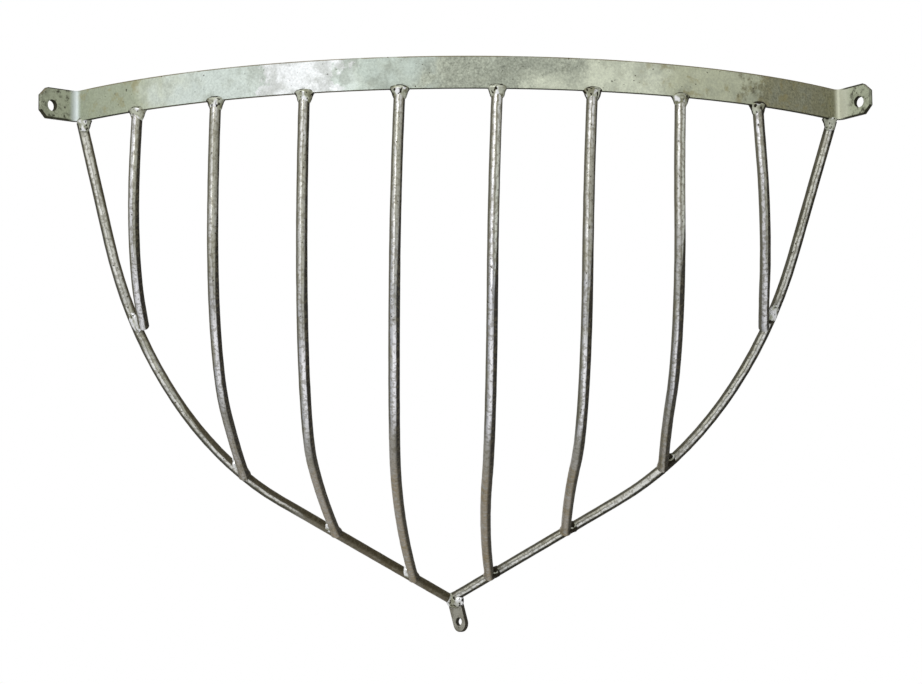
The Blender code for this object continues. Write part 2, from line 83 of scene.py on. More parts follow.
def band_stations(side, lug_length, tilt):
    """From the middle of the band to a lug's tip: plan point, outward way, lowest and highest Z."""
    arc_end = math.radians(45) - math.asin(TURN_OFF_WALL / TURN_FROM_CORNER)
    high = BAND_LOW + BAND_HEIGHT
    steps = math.ceil(arc_end / BAND_FINENESS)
    stations = []
    for step in range(steps):
        angle = arc_end * step / steps
        outward = Vector((side * math.sin(angle), -math.cos(angle)))
        stations.append((outward * BAND_MIDDLE, outward, BAND_LOW, high))
    centre = Vector((side * math.sin(arc_end), -math.cos(arc_end))) * TURN_FROM_CORNER
    for step in range(TURN_FINENESS + 1):
        angle = math.radians(90) + arc_end - (arc_end + math.radians(45)) * step / TURN_FINENESS
        inward = Vector((side * math.cos(angle), math.sin(angle)))
        stations.append((centre + inward * BAND_TURN, -inward, BAND_LOW, high))
    tip = BAND_RADIUS + lug_length
    off_wall = on_wall(side, 0, 1, 0).to_2d()
    for along, cut in ((tip - LUG_CORNER, 0), (tip, LUG_CORNER)):
        climb = math.tan(tilt) * (along - LUG_START)
        plan = on_wall(side, along, BAND_THICKNESS / 2, 0).to_2d()
        stations.append((plan, off_wall, BAND_LOW + climb + cut, high + climb - cut))
    return stations


def skin(bm, rings):
    """Faces from each ring of points to the next, and one over each end."""
    count = len(rings[0])
    for ring, following in zip(rings, rings[1:]):
        for side in range(count):
            after = (side + 1) % count
            bm.faces.new((ring[side], ring[after], following[after], following[side]))
    bm.faces.new(rings[0])
    bm.faces.new(rings[-1])


def mesh_of(bm, name):
    """The finished mesh, its faces turned outward."""
    bmesh.ops.recalc_face_normals(bm, faces=bm.faces)
    mesh = bpy.data.meshes.new(name)
    bm.to_mesh(mesh)
    bm.free()
    return mesh


def add_piece(name, mesh):
    """Link a mesh as an object of its own."""
    piece = bpy.data.objects.new(name, mesh)
    bpy.context.scene.collection.objects.link(piece)
    return piece


def rolled_band():
    """The whole band with both lugs, before its holes are drilled."""
    halves = [band_stations(side, length, tilt) for side, length, tilt, _ in LUG_SHAPES]
    bm = bmesh.new()
    rings = []
    for plan, outward, low, high in halves[0][:0:-1] + halves[1]:
        front = plan + outward * BAND_THICKNESS / 2
        back = plan - outward * BAND_THICKNESS / 2
        corners = ((front, low), (front, high), (back, high), (back, low))
        rings.append([bm.verts.new((*spot, height)) for spot, height in corners])
    skin(bm, rings)
    return mesh_of(bm, "rolled_band")


def drill(name, middle, across, diameter, depth):
    """A drill's shape, to be cut out of a lug."""
    bm = bmesh.new()
    radius = diameter / 2
    bmesh.ops.create_cone(
        bm, cap_ends=True, segments=DRILL_SIDES, radius1=radius, radius2=radius, depth=depth
    )
    turn = across.to_track_quat("Z", "Y").to_matrix().to_4x4()
    bm.transform(Matrix.Translation(middle) @ turn)
    return add_piece(name, mesh_of(bm, name))


def bore_of(shape):
    """A drill's middle, axis and radius."""
    spots = [vert.co for vert in shape.data.vertices]
    middle = sum(spots, Vector()) / len(spots)
    axis = max(shape.data.polygons, key=lambda face: len(face.vertices)).normal.copy()
    return middle, axis, max(((spot - middle).cross(axis)).length for spot in spots)


def drilled_and_rounded(blank, drills, edge_round):
    """Cut the holes and round every edge; the corner attributes 'edge' and 'bore' mark those faces."""
    bores = [bore_of(shape) for shape in drills]
    for shape in drills:
        cut = blank.modifiers.new(shape.name, "BOOLEAN")
        cut.operation = "DIFFERENCE"
        cut.solver = "EXACT"
        cut.object = shape
    rounding = blank.modifiers.new("rounding", "BEVEL")
    rounding.width = edge_round
    rounding.segments = EDGE_ROUND_STEPS
    rounding.angle_limit = SHARP_EDGE
    rounding.harden_normals = True
    rounding.mark_seam = False
    rounding.material = 1
    blank.data.materials.append(None)
    blank.data.materials.append(None)
    blank.data.shade_smooth()
    graph = bpy.context.evaluated_depsgraph_get()
    finished = bpy.data.meshes.new_from_object(blank.evaluated_get(graph), depsgraph=graph)
    blank.modifiers.clear()
    blank.data = finished
    edge = finished.attributes.new("edge", "FLOAT", "CORNER")
    bore = finished.attributes.new("bore", "FLOAT", "CORNER")
    for face in finished.polygons:
        reach = min((face.center - middle).cross(axis).length - radius for middle, axis, radius in bores)
        # the flat face round a hole may be centred on it, but it has more corners than the bore's own faces
        inside = reach < edge_round * 0.7 and len(face.vertices) < 9
        for corner in face.loop_indices:
            edge.data[corner].value = 1.0 if face.material_index else 0.0
            bore.data[corner].value = 1.0 if inside else 0.0
        face.material_index = 0
    finished.materials.clear()
    for shape in drills:
        bpy.data.objects.remove(shape, do_unlink=True)
    return blank


def feed(tree, socket, setting):
    """Give a socket a number or a colour of its own, or link another socket to it."""
    if isinstance(setting, tuple):
        socket.default_value = (*setting, 1)
    elif isinstance(setting, (int, float)):
        socket.default_value = setting
    else:
        tree.links.new(setting, socket)


def start_group(name, takes, gives):
    """A shader node group; of what it gives, Colour is a colour and the rest are masks.

    Returns the group, the sockets with what it takes and the sockets for what it gives."""
    group = bpy.data.node_groups.new(name, "ShaderNodeTree")
    for label, value in takes.items():
        kind = "NodeSocketColor" if isinstance(value, tuple) else "NodeSocketFloat"
        feed(group, group.interface.new_socket(label, in_out="INPUT", socket_type=kind), value)
    for label in gives:
        kind = "NodeSocketColor" if label == "Colour" else "NodeSocketFloat"
        group.interface.new_socket(label, in_out="OUTPUT", socket_type=kind)
    return group, group.nodes.new("NodeGroupInput").outputs, group.nodes.new("NodeGroupOutput").inputs


def place_group(tree, group, settings):
    """Put a group into a material with its own values; returns what the group gives."""
    node = tree.nodes.new("ShaderNodeGroup")
    node.node_tree = group
    for label, setting in settings.items():
        feed(tree, node.inputs[label], setting)
    return node.outputs


def worked_out(tree, kind, first, *others):
    """Math nodes of one kind that take up one value after another; each is a number or a socket."""
    for other in others:
        node = tree.nodes.new("ShaderNodeMath")
        node.operation = kind
        feed(tree, node.inputs[0], first)
        feed(tree, node.inputs[1], other)
        first = node.outputs["Value"]
    return first


def plus(tree, *values):
    """Values added up."""
    return worked_out(tree, "ADD", *values)


def minus(tree, first, second):
    """The first value less the second."""
    return worked_out(tree, "SUBTRACT", first, second)


def times(tree, *values):
    """Values multiplied."""
    return worked_out(tree, "MULTIPLY", *values)


def one_over(tree, value):
    """How often a value goes into 1."""
    return worked_out(tree, "DIVIDE", 1.0, value)


def largest(tree, *values):
    """The largest of some values."""
    return worked_out(tree, "MAXIMUM", *values)


def smallest(tree, *values):
    """The smallest of some values."""
    return worked_out(tree, "MINIMUM", *values)


def apart(tree, first, second):
    """How far two values are from each other."""
    return worked_out(tree, "ABSOLUTE", minus(tree, first, second), 0.0)


def swing(tree, noise_value, amount):
    """Noise whose middle is moved from 0.5 to 0, scaled by an amount."""
    return times(tree, minus(tree, noise_value, 0.5), amount)


def ramp(tree, value, low, high, to_low=0.0, to_high=1.0):
    """A smooth step from one mask value to another; each may be a number or a socket."""
    node = tree.nodes.new("ShaderNodeMapRange")
    node.interpolation_type = "SMOOTHSTEP"
    settings = {"Value": value, "From Min": low, "From Max": high, "To Min": to_low, "To Max": to_high}
    for label, setting in settings.items():
        feed(tree, node.inputs[label], setting)
    return node.outputs["Result"]


def between(tree, value, low, high, soft):
    """A mask that is 1 between two places and falls off over a soft border on each side."""
    rise = ramp(tree, value, low - soft, low + soft)
    return times(tree, rise, ramp(tree, value, high + soft, high - soft))


def blend_colours(tree, mask, first, second):
    """First where the mask is 0 and second where it is 1; each a colour or a socket."""
    node = tree.nodes.new("ShaderNodeMix")
    node.data_type = "RGBA"
    feed(tree, node.inputs["Factor"], mask)
    feed(tree, node.inputs["A"], first)
    feed(tree, node.inputs["B"], second)
    return node.outputs["Result"]


def tint(tree, mask, strength, colour, new):
    """Blend a new colour in where the mask is, at a given strength."""
    return blend_colours(tree, times(tree, mask, strength), colour, new)


def object_place(tree):
    """The place of a surface point in its object."""
    return tree.nodes.new("ShaderNodeTexCoord").outputs["Object"]


def object_facing(tree):
    """The way a surface point faces in its object."""
    return tree.nodes.new("ShaderNodeTexCoord").outputs["Normal"]


def axes_of(tree, place):
    """The X, Y and Z of a place."""
    node = tree.nodes.new("ShaderNodeSeparateXYZ")
    feed(tree, node.inputs["Vector"], place)
    return node.outputs


def read_attribute(tree, name):
    """The sockets of a mesh attribute."""
    node = tree.nodes.new("ShaderNodeAttribute")
    node.attribute_name = name
    return node.outputs


def cloud(tree, place, size, detail, roughness=0.55):
    """Noise with features of a given size in metres; its middle value is 0.5."""
    node = tree.nodes.new("ShaderNodeTexNoise")
    node.inputs["Detail"].default_value = detail
    node.inputs["Roughness"].default_value = roughness
    feed(tree, node.inputs["Vector"], place)
    feed(tree, node.inputs["Scale"], 1 / size if isinstance(size, float) else one_over(tree, size))
    return node.outputs["Fac"]


PATCH_SOFTNESS = 0.09
SPECK_SOFTNESS = 0.06
FINE_GRAIN = 0.0024
ZINC_LUMP = 0.007
ZINC_MIRROR = 0.3
ZINC_MIRROR_TINT = (0.35, 0.35, 0.35, 1)


def zinc_patches_group():
    """Spangled zinc that has weathered in patches: pale and bright in some places, dull in others."""
    group, take, give = start_group(
        "zinc patches",
        {
            "Pale": (0.6, 0.6, 0.6), "Dull": (0.3, 0.3, 0.3), "Patch Size": 0.03, "Dull Share": 0.5,
            "Spangle Size": 0.009, "Spangle": 0.08, "Grain": 0.5,
        },
        ("Colour", "Dullness", "Height"),
    )
    place = object_place(group)
    wide = cloud(group, place, take["Patch Size"], 5.0, 0.6)
    dull_from = minus(group, 1 - PATCH_SOFTNESS, take["Dull Share"])
    dull = ramp(group, wide, dull_from, minus(group, 1 + PATCH_SOFTNESS, take["Dull Share"]))
    crystals = group.nodes.new("ShaderNodeTexVoronoi")
    feed(group, crystals.inputs["Vector"], place)
    feed(group, crystals.inputs["Scale"], one_over(group, take["Spangle Size"]))
    tone = group.nodes.new("ShaderNodeSeparateColor")
    feed(group, tone.inputs["Color"], crystals.outputs["Color"])
    spangle = swing(group, tone.outputs["Red"], take["Spangle"])
    fine = cloud(group, place, FINE_GRAIN, 2.0, 0.7)
    grain = swing(group, fine, take["Grain"])
    scaled = group.nodes.new("ShaderNodeVectorMath")
    scaled.operation = "SCALE"
    feed(group, scaled.inputs[0], blend_colours(group, dull, take["Pale"], take["Dull"]))
    feed(group, scaled.inputs["Scale"], plus(group, spangle, grain, 1.0))
    feed(group, give["Colour"], scaled.outputs["Vector"])
    feed(group, give["Dullness"], dull)
    lumps = cloud(group, place, ZINC_LUMP, 2.0)
    feed(group, give["Height"], plus(group, lumps, times(group, fine, 0.25)))
    return group


def specks_group():
    """Small dark pits and dross specks in the zinc."""
    group, take, give = start_group(
        "dross specks",
        {
            "Colour": (0.5, 0.5, 0.5), "Speck Colour": (0.05, 0.045, 0.03),
            "Speck Size": 0.003, "Amount": 0.3,
        },
        ("Colour", "Specks"),
    )
    grains = cloud(group, object_place(group), take["Speck Size"], 1.0)
    specks_from = minus(group, 1.0, take["Amount"])
    specks = ramp(group, grains, specks_from, plus(group, specks_from, SPECK_SOFTNESS))
    feed(group, give["Colour"], blend_colours(group, specks, take["Colour"], take["Speck Colour"]))
    feed(group, give["Specks"], specks)
    return group


zinc_patches = zinc_patches_group()
specks_in_zinc = specks_group()


def zinc_material(name):
    """A new material for zinc, with a weak mirror; returns it and its tree."""
    material = bpy.data.materials.new(name)
    material.use_nodes = True
    shader = material.node_tree.nodes["Principled BSDF"]
    shader.inputs["Specular Tint"].default_value = ZINC_MIRROR_TINT
    shader.inputs["Specular IOR Level"].default_value = ZINC_MIRROR
    return material, material.node_tree


def finish_zinc(tree, colour, worn, metallic, shade_and_grime, height, depth, shade_and_grime_roughness=0.95):
    """Feed the shader: worn is the roughness of bare zinc, and the mask of painted shade and grime covers
    its gloss and its metal.

    height is a mask that stands for a depth in metres."""
    shader = tree.nodes["Principled BSDF"]
    feed(tree, shader.inputs["Base Color"], colour)
    feed(tree, shader.inputs["Roughness"], ramp(tree, shade_and_grime, 0, 1, worn, shade_and_grime_roughness))
    feed(tree, shader.inputs["Metallic"], ramp(tree, shade_and_grime, 0, 1, metallic, 0.0))
    bump = tree.nodes.new("ShaderNodeBump")
    bump.inputs["Distance"].default_value = depth
    bump.inputs["Strength"].default_value = 1.0
    feed(tree, bump.inputs["Height"], height)
    feed(tree, shader.inputs["Normal"], bump.outputs["Normal"])


BAND_WARM = (0.68, 0.72, 0.575)
BAND_GREY = (0.325, 0.35, 0.285)
BAND_STRETCHES = {               # from X, to X, soft border, share, whether the border is ragged, colour
    "stained": (-0.600, -0.330, 0.050, 1.00, False, (0.375, 0.415, 0.305)),
    "cool": (-0.320, -0.100, 0.040, 1.00, False, (0.58, 0.645, 0.60)),
    "green": (-0.118, -0.020, 0.020, 1.00, False, (0.44, 0.50, 0.45)),
    "yellowed": (0.215, 0.600, 0.030, 0.90, False, (0.50, 0.525, 0.375)),
    # the bright stretch is pale zinc with a painted highlight on it
    "bright": (-0.220, -0.128, 0.004, 0.92, True, (0.78, 0.80, 0.81)),
    "grey": (-0.035, 0.105, 0.035, 0.95, False, BAND_GREY),
    "olive": (0.320, 0.600, 0.008, 0.95, True, (0.245, 0.24, 0.150)),
}
BAND_RUST = (0.30, 0.26, 0.11)
# Painted shade on the underside, along the lugs' edges and in their holes, lighter under the pale stretch
BAND_EDGE_SHADE = (0.030, 0.028, 0.016)
BAND_LIGHT_EDGE_SHADE = (0.12, 0.11, 0.07)
BAND_TOP_EDGE = (0.17, 0.14, 0.075)
LUG_FROM_X = (0.424, 0.431)      # where the lugs' finish starts, on both sides of the middle
LUG_ZINC = (0.43, 0.465, 0.34)
LUG_GRIME = (0.075, 0.075, 0.050)
PAINTED_TURN_HIGHLIGHTS = (                  # from X, to X, soft border, share and colour of the painted highlights on the bends at the lugs
    (-0.4265, -0.4185, 0.003, 0.70, (0.72, 0.79, 0.82)),
    (0.4195, 0.4330, 0.004, 0.80, (0.60, 0.62, 0.50)),
)
EDGE_SHADE_WIDTH = 0.0016              # width of the painted shade along a lug's edges
UPPER_LINE = (0.0154, 0.0162)    # height where the band's front turns brown


def lug_outline_shade_mask(tree, axes, sideways):
    """Painted shade along the edges of both lugs, as a mask."""
    along = times(tree, sideways, math.sqrt(2))
    half = BAND_HEIGHT / 2
    masks = []
    for side, length, tilt, _ in LUG_SHAPES:
        tip = BAND_RADIUS + length
        climb = times(tree, minus(tree, along, LUG_START), math.tan(tilt))
        off_middle = apart(tree, axes["Z"], climb)
        to_corner = minus(tree, tip - LUG_CORNER + half, plus(tree, along, off_middle))
        to_corner = times(tree, to_corner, math.sqrt(0.5))
        to_edge = smallest(tree, minus(tree, half, off_middle), minus(tree, tip, along), to_corner)
        near = ramp(tree, to_edge, EDGE_SHADE_WIDTH, 0.6 * EDGE_SHADE_WIDTH)
        masks.append(times(tree, near, ramp(tree, axes["X"], 0, side * 0.1)))
    return largest(tree, *masks)


def lug_colours(tree, place, axes, sideways, on_lug, colour):
    """The band's colour with both lugs: olive zinc under clouds of grime, and a painted highlight on each
    bend.
    """
    clouds = ramp(tree, cloud(tree, place, 0.009, 5.0, 0.75), 0.46, 0.66)
    toward_tip = times(
        tree, ramp(tree, sideways, 0.440, 0.462, 0.0, 0.75),
        ramp(tree, cloud(tree, place, 0.008, 4.0, 0.7), 0.38, 0.58)
    )
    grimy = blend_colours(tree, largest(tree, clouds, toward_tip), LUG_ZINC, LUG_GRIME)
    colour = blend_colours(tree, on_lug, colour, grimy)
    # a painted highlight on each bend at a lug
    for start, end, soft, share, new in PAINTED_TURN_HIGHLIGHTS:
        colour = tint(tree, between(tree, axes["X"], start, end, soft), share, colour, new)
    return colour


def band_edges(tree, place, axes, sideways, on_lug):
    """Masks of the brown upper edge, and of painted shade on the underside, round the lugs and in their
    holes.
    """
    facing = axes_of(tree, object_facing(tree))
    upper_line = times(
        tree, ramp(tree, axes["Z"], *UPPER_LINE),
        ramp(tree, cloud(tree, place, 0.03, 3.0), 0.36, 0.48, 0.4, 1.0), ramp(tree, sideways, 0.424, 0.418)
    )
    upper_edge = largest(tree, ramp(tree, facing["Z"], 0.30, 0.80), upper_line)
    rim = largest(
        tree, ramp(tree, facing["Z"], -0.20, -0.60),
        times(tree, lug_outline_shade_mask(tree, axes, sideways), on_lug),
        times(tree, read_attribute(tree, "edge")["Fac"], on_lug), read_attribute(tree, "bore")["Fac"]
    )
    return upper_edge, rim


def band_finish():
    """Green-grey zinc: nearly white left of the middle, where pale zinc carries a painted highlight, grey
    and grainy at it, olive at the right end.
    """
    material, tree = zinc_material("band_zinc")
    place = object_place(tree)
    axes = axes_of(tree, place)
    sideways = apart(tree, axes["X"], 0.0)
    on_lug = ramp(tree, sideways, *LUG_FROM_X)
    ragged_x = plus(tree, axes["X"], swing(tree, cloud(tree, place, 0.022, 5.0, 0.7), 0.12))
    loose_x = plus(tree, axes["X"], swing(tree, cloud(tree, place, 0.05, 3.0), 0.20))

    colour = BAND_WARM
    masks = {}
    for name, (start, end, soft, share, ragged, new) in BAND_STRETCHES.items():
        masks[name] = between(tree, ragged_x if ragged else loose_x, start, end, soft)
        colour = tint(tree, masks[name], share, colour, new)
    zinc = place_group(tree, zinc_patches, {
        "Pale": colour, "Dull": blend_colours(tree, 0.35, colour, BAND_GREY),
        "Patch Size": 0.024, "Dull Share": 0.44, "Spangle Size": 0.010, "Spangle": 0.08,
        "Grain": ramp(tree, largest(tree, masks["grey"], masks["olive"]), 0, 1, 0.7, 1.7),
    })
    toward_ends = largest(tree, ramp(tree, loose_x, -0.30, -0.37), ramp(tree, loose_x, 0.12, 0.24))
    stains = times(
        tree, ramp(tree, cloud(tree, place, 0.016, 4.0, 0.65), 0.53, 0.68),
        ramp(tree, toward_ends, 0, 1, 0.06, 0.8)
    )
    colour = tint(tree, stains, 0.7, zinc["Colour"], BAND_RUST)
    colour = lug_colours(tree, place, axes, sideways, on_lug, colour)
    specks = place_group(tree, specks_in_zinc, {"Colour": colour, "Speck Size": 0.0036, "Amount": 0.275})

    upper_edge, rim = band_edges(tree, place, axes, sideways, on_lug)
    colour = tint(tree, upper_edge, 0.85, specks["Colour"], BAND_TOP_EDGE)
    lighter = between(tree, loose_x, -0.34, -0.08, 0.03)
    # painted shade on the underside, along the lugs' edges and in their holes
    colour = tint(tree, rim, 0.95, colour, blend_colours(tree, lighter, BAND_EDGE_SHADE, BAND_LIGHT_EDGE_SHADE))
    worn = ramp(tree, zinc["Dullness"], 0, 1, 0.56, 0.72)
    finish_zinc(tree, colour, worn, metallic=0.18, shade_and_grime=rim, height=zinc["Height"], depth=0.0002)
    return material


band_drills = []
for side, _, tilt, from_band in LUG_SHAPES:
    along = BAND_RADIUS + from_band
    height = math.tan(tilt) * (along - LUG_START) - LUG_HOLE_DROP
    middle = on_wall(side, along, BAND_THICKNESS / 2, height)
    label = "left_lug_drill" if side == LEFT else "right_lug_drill"
    band_drills.append(drill(label, middle, on_wall(side, 0, 1, 0), LUG_HOLE, 4 * BAND_THICKNESS))
band = drilled_and_rounded(add_piece("band", rolled_band()), band_drills, BAND_EDGE_ROUND)
band.data.materials.append(band_finish())
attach(band, "root")
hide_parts("top_band")


# Side rods. Two lengths of 12 mm round bar, each bent in one long sweep to lie along its wall, butted
# up under the ends of the band and mitred together at the bottom of the corner.

BAR_DIAMETER = 0.0122            # with its zinc
BAR_RADIUS = BAR_DIAMETER / 2
ROD_WALL_GAP = 0.0002
ROD_TOP_INSET = 0.007            # a rod's top from the outer face of the band
APEX_DEPTH = 0.524               # underside of the band to where the two rods meet
MITRE_GAP = 0.0001               # from a rod's mitre to the middle of the corner
ROD_OFF_WALL = BAR_RADIUS + ROD_WALL_GAP
ROD_TOP_FROM_CORNER = BAND_RADIUS - ROD_TOP_INSET
APEX_HEIGHT = BAND_LOW - APEX_DEPTH
ROD_SHAPES = (                   # name, wall, lean of the upper leg, rise of the lower leg, bend radius
    ("left_side_rod", LEFT, math.radians(17.0), math.radians(21.6), 0.438),
    ("right_side_rod", RIGHT, math.radians(21.2), math.radians(22.5), 0.470),
)
BAR_FINENESS = 0.004             # between the rings of a bar's mesh
BAR_SIDES = 24
BEND_FINENESS = math.radians(3)
BEND_LIMIT = 0.95                # share of the shorter leg that a bend may take up
BAR_SHARP_EDGE = math.radians(50)
ZINC_LUMPS = 0.00014             # how unevenly the zinc lies on a bar
LUMPS_ACROSS = 120               # lumps to a metre
LUMPS_ALONG = 55
FOOT_SPREAD_LENGTH = 0.020
ROD_PATTERN = 0.9                # a pattern keeps a bar from having another's lumps and stains
PATTERN_SHIFT = 31


def bent_line(start, corner, finish, radius):
    """A flat line from start to finish that turns at a corner with a bend radius."""
    back = (start - corner).normalized()
    ahead = (finish - corner).normalized()
    half_turn = (math.pi - back.angle(ahead)) / 2
    shorter = min((start - corner).length, (finish - corner).length)
    reach = min(radius * math.tan(half_turn), BEND_LIMIT * shorter)
    radius = reach / math.tan(half_turn)
    centre = corner + (back + ahead).normalized() * (radius / math.cos(half_turn))
    spoke = corner + back * reach - centre
    turn = 2 * half_turn if back.cross(ahead) < 0 else -2 * half_turn
    steps = math.ceil(2 * half_turn / BEND_FINENESS)
    line = [start]
    for step in range(steps + 1):
        line.append(centre + Matrix.Rotation(turn * step / steps, 2) @ spoke)
    return line + [finish]


def rod_line(lean, rise, radius):
    """A side rod's axis as (distance from the corner, height), from the band down to the corner."""
    top = Vector((ROD_TOP_FROM_CORNER, BAND_LOW))
    end = Vector((ROD_OFF_WALL, APEX_HEIGHT))
    span = top - end
    leg = (span.y - span.x * math.tan(rise)) / (math.cos(lean) - math.sin(lean) * math.tan(rise))
    corner = top - Vector((math.sin(lean), math.cos(lean))) * leg
    return bent_line(top, corner, end, radius)


def height_on(line, distance):
    """Height of a side rod's axis at a distance from the corner."""
    for upper, lower in zip(line, line[1:]):
        if lower.x <= distance <= upper.x:
            share = (distance - lower.x) / (upper.x - lower.x)
            return lower.y + share * (upper.y - lower.y)
    return line[-1].y


def even_steps(points, step):
    """The same line with points at an even distance."""
    lengths = [0.0]
    for here, following in zip(points, points[1:]):
        lengths.append(lengths[-1] + (following - here).length)
    count = max(2, round(lengths[-1] / step))
    even = []
    stretch = 0
    for number in range(count + 1):
        wanted = lengths[-1] * number / count
        while stretch < len(points) - 2 and lengths[stretch + 1] < wanted:
            stretch += 1
        share = (wanted - lengths[stretch]) / (lengths[stretch + 1] - lengths[stretch])
        even.append(points[stretch].lerp(points[stretch + 1], share))
    return even


def ring_round(spot, tangent, length, pattern, swelling):
    """A ring of points round a bar's axis, each with its place on the bar as if it were straight."""
    front = Vector((0, -1, 0))
    out = (front - tangent * front.dot(tangent)).normalized()
    across = out.cross(tangent).normalized()
    if across.x < 0:
        across = -across
    ring = []
    for side in range(BAR_SIDES):
        angle = 2 * math.pi * side / BAR_SIDES
        place = Vector((math.sin(angle) * BAR_RADIUS, math.cos(angle) * BAR_RADIUS, length))
        down = place.z * LUMPS_ALONG + PATTERN_SHIFT * pattern
        seed = Vector((place.x * LUMPS_ACROSS, place.y * LUMPS_ACROSS, down))
        lump = noise.noise(seed) + 0.5 * noise.noise(seed * 2.7)
        proud = 1 + ZINC_LUMPS / BAR_RADIUS * (lump - 0.6) + swelling
        ring.append((spot + (across * place.x + out * place.y) * proud, place + Vector((0, 0, pattern))))
    return ring


def zinced_bar(name, points, pattern, mitre=None, spread=0.0):
    """A round bar along a line, its zinc lying a little unevenly, sawn square or on a mitre plane.

    spread is how much wider its foot is where it runs into the weld. The attribute 'straight' gives each
    point's place as if the bar had never been bent: across, out of the rack and down its length."""
    line = even_steps(points, BAR_FINENESS)
    bm = bmesh.new()
    rings = []
    places = []
    length = 0.0
    for number, spot in enumerate(line):
        before = line[max(number - 1, 0)]
        after = line[min(number + 1, len(line) - 1)]
        length += (spot - before).length
        to_foot = (len(line) - 1 - number) * BAR_FINENESS
        swelling = spread * max(0.0, 1 - to_foot / FOOT_SPREAD_LENGTH) ** 2
        ring = ring_round(spot, (after - before).normalized(), length, pattern, swelling)
        rings.append([bm.verts.new(point) for point, _ in ring])
        places.extend(place for _, place in ring)
    skin(bm, rings)
    layer = bm.verts.layers.float_vector.new("straight")
    for vert, place in zip(bm.verts, places):
        vert[layer] = place
    if mitre is not None:
        every = bm.verts[:] + bm.edges[:] + bm.faces[:]
        spot, facing = mitre
        sawn = bmesh.ops.bisect_plane(bm, geom=every, plane_co=spot, plane_no=facing, clear_outer=True)
        rim = [item for item in sawn["geom_cut"] if isinstance(item, bmesh.types.BMEdge)]
        bmesh.ops.contextual_create(bm, geom=rim)
    mesh = mesh_of(bm, name)
    mesh.shade_smooth()
    mesh.set_sharp_from_angle(angle=BAR_SHARP_EDGE)
    return add_piece(name, mesh)


# Places down a bar, measured from its Tail At
TAIL_STARTS = (0.02, 0.08)
TAIL_RUSTS = (0.08, 0.16)
WHITER_ABOVE = (-0.26, -0.31)
RIGHT_SHADE_SHIFTS = (-0.20, -0.09)
BEND_HIGHLIGHT = (-0.072, 0.040, 0.028)      # from, to, soft border


def highlight_streaks(group, straight, down):
    """Fine streaks down a bar, and how strong its painted highlights are: they come and go and are streaky.
    """
    squeezed = group.nodes.new("ShaderNodeMapping")
    squeezed.inputs["Scale"].default_value = (1, 1, 0.10)
    feed(group, squeezed.inputs["Vector"], straight)
    streaks = ramp(group, cloud(group, squeezed.outputs["Vector"], 0.0030, 3.0), 0.36, 0.58, 0.55, 1.0)
    come_and_go = ramp(group, cloud(group, down, 0.045, 3.0), 0.34, 0.54, 0.5, 1.0)
    return streaks, times(group, come_and_go, streaks, 0.85)


def with_brown_tail(group, take, straight, from_tail, tail):
    """The bar's colour, turning to that of its tail, which rusts in patches toward the foot."""
    rusty = times(
        group, ramp(group, cloud(group, straight, 0.006, 4.0), 0.32, 0.56),
        ramp(group, from_tail, *TAIL_RUSTS, 0.10, 1.0)
    )
    tail_colour = blend_colours(group, rusty, take["Tail"], take["Rust"])
    return blend_colours(group, tail, take["Colour"], tail_colour)


def with_painted_highlights(group, take, colour, sideways, from_tail, strength):
    """The two painted highlights down a bar, whiter near its top."""
    near_top = ramp(group, from_tail, *WHITER_ABOVE, 0.0, 0.6)
    for run in ("Left Highlight", "Right Highlight"):
        past = minus(group, apart(group, sideways, take[f"{run} At"]), take["Highlight Width"])
        mask = times(group, ramp(group, past, 0.08, -0.08), strength)
        highlight_colour = blend_colours(group, near_top, take[run], take["Bend Highlight"])
        colour = blend_colours(group, mask, colour, highlight_colour)
    return colour


def painted_side_shade(group, take, plain, wander, from_tail, tail):
    """Masks of the painted shade down a bar's left and right side; on its tail the left one thins out and
    the right one spreads and softens.
    """
    edging = plus(group, plain, times(group, wander, 0.35))
    left = ramp(group, minus(group, edging, take["Left Shade At"]), 0.10, -0.10, 0.0, 0.92)
    left = times(group, left, ramp(group, tail, 0, 1, 1, 0.1))
    above, below = take["Right Shade Above"], take["Right Shade Below"]
    right_at = ramp(group, from_tail, *RIGHT_SHADE_SHIFTS, above, below)
    past_right = minus(group, edging, minus(group, right_at, times(group, tail, 0.16)))
    softer = times(group, past_right, ramp(group, tail, 0, 1, 1, 0.35))
    return left, ramp(group, softer, -0.12, 0.12, 0.0, 0.96)


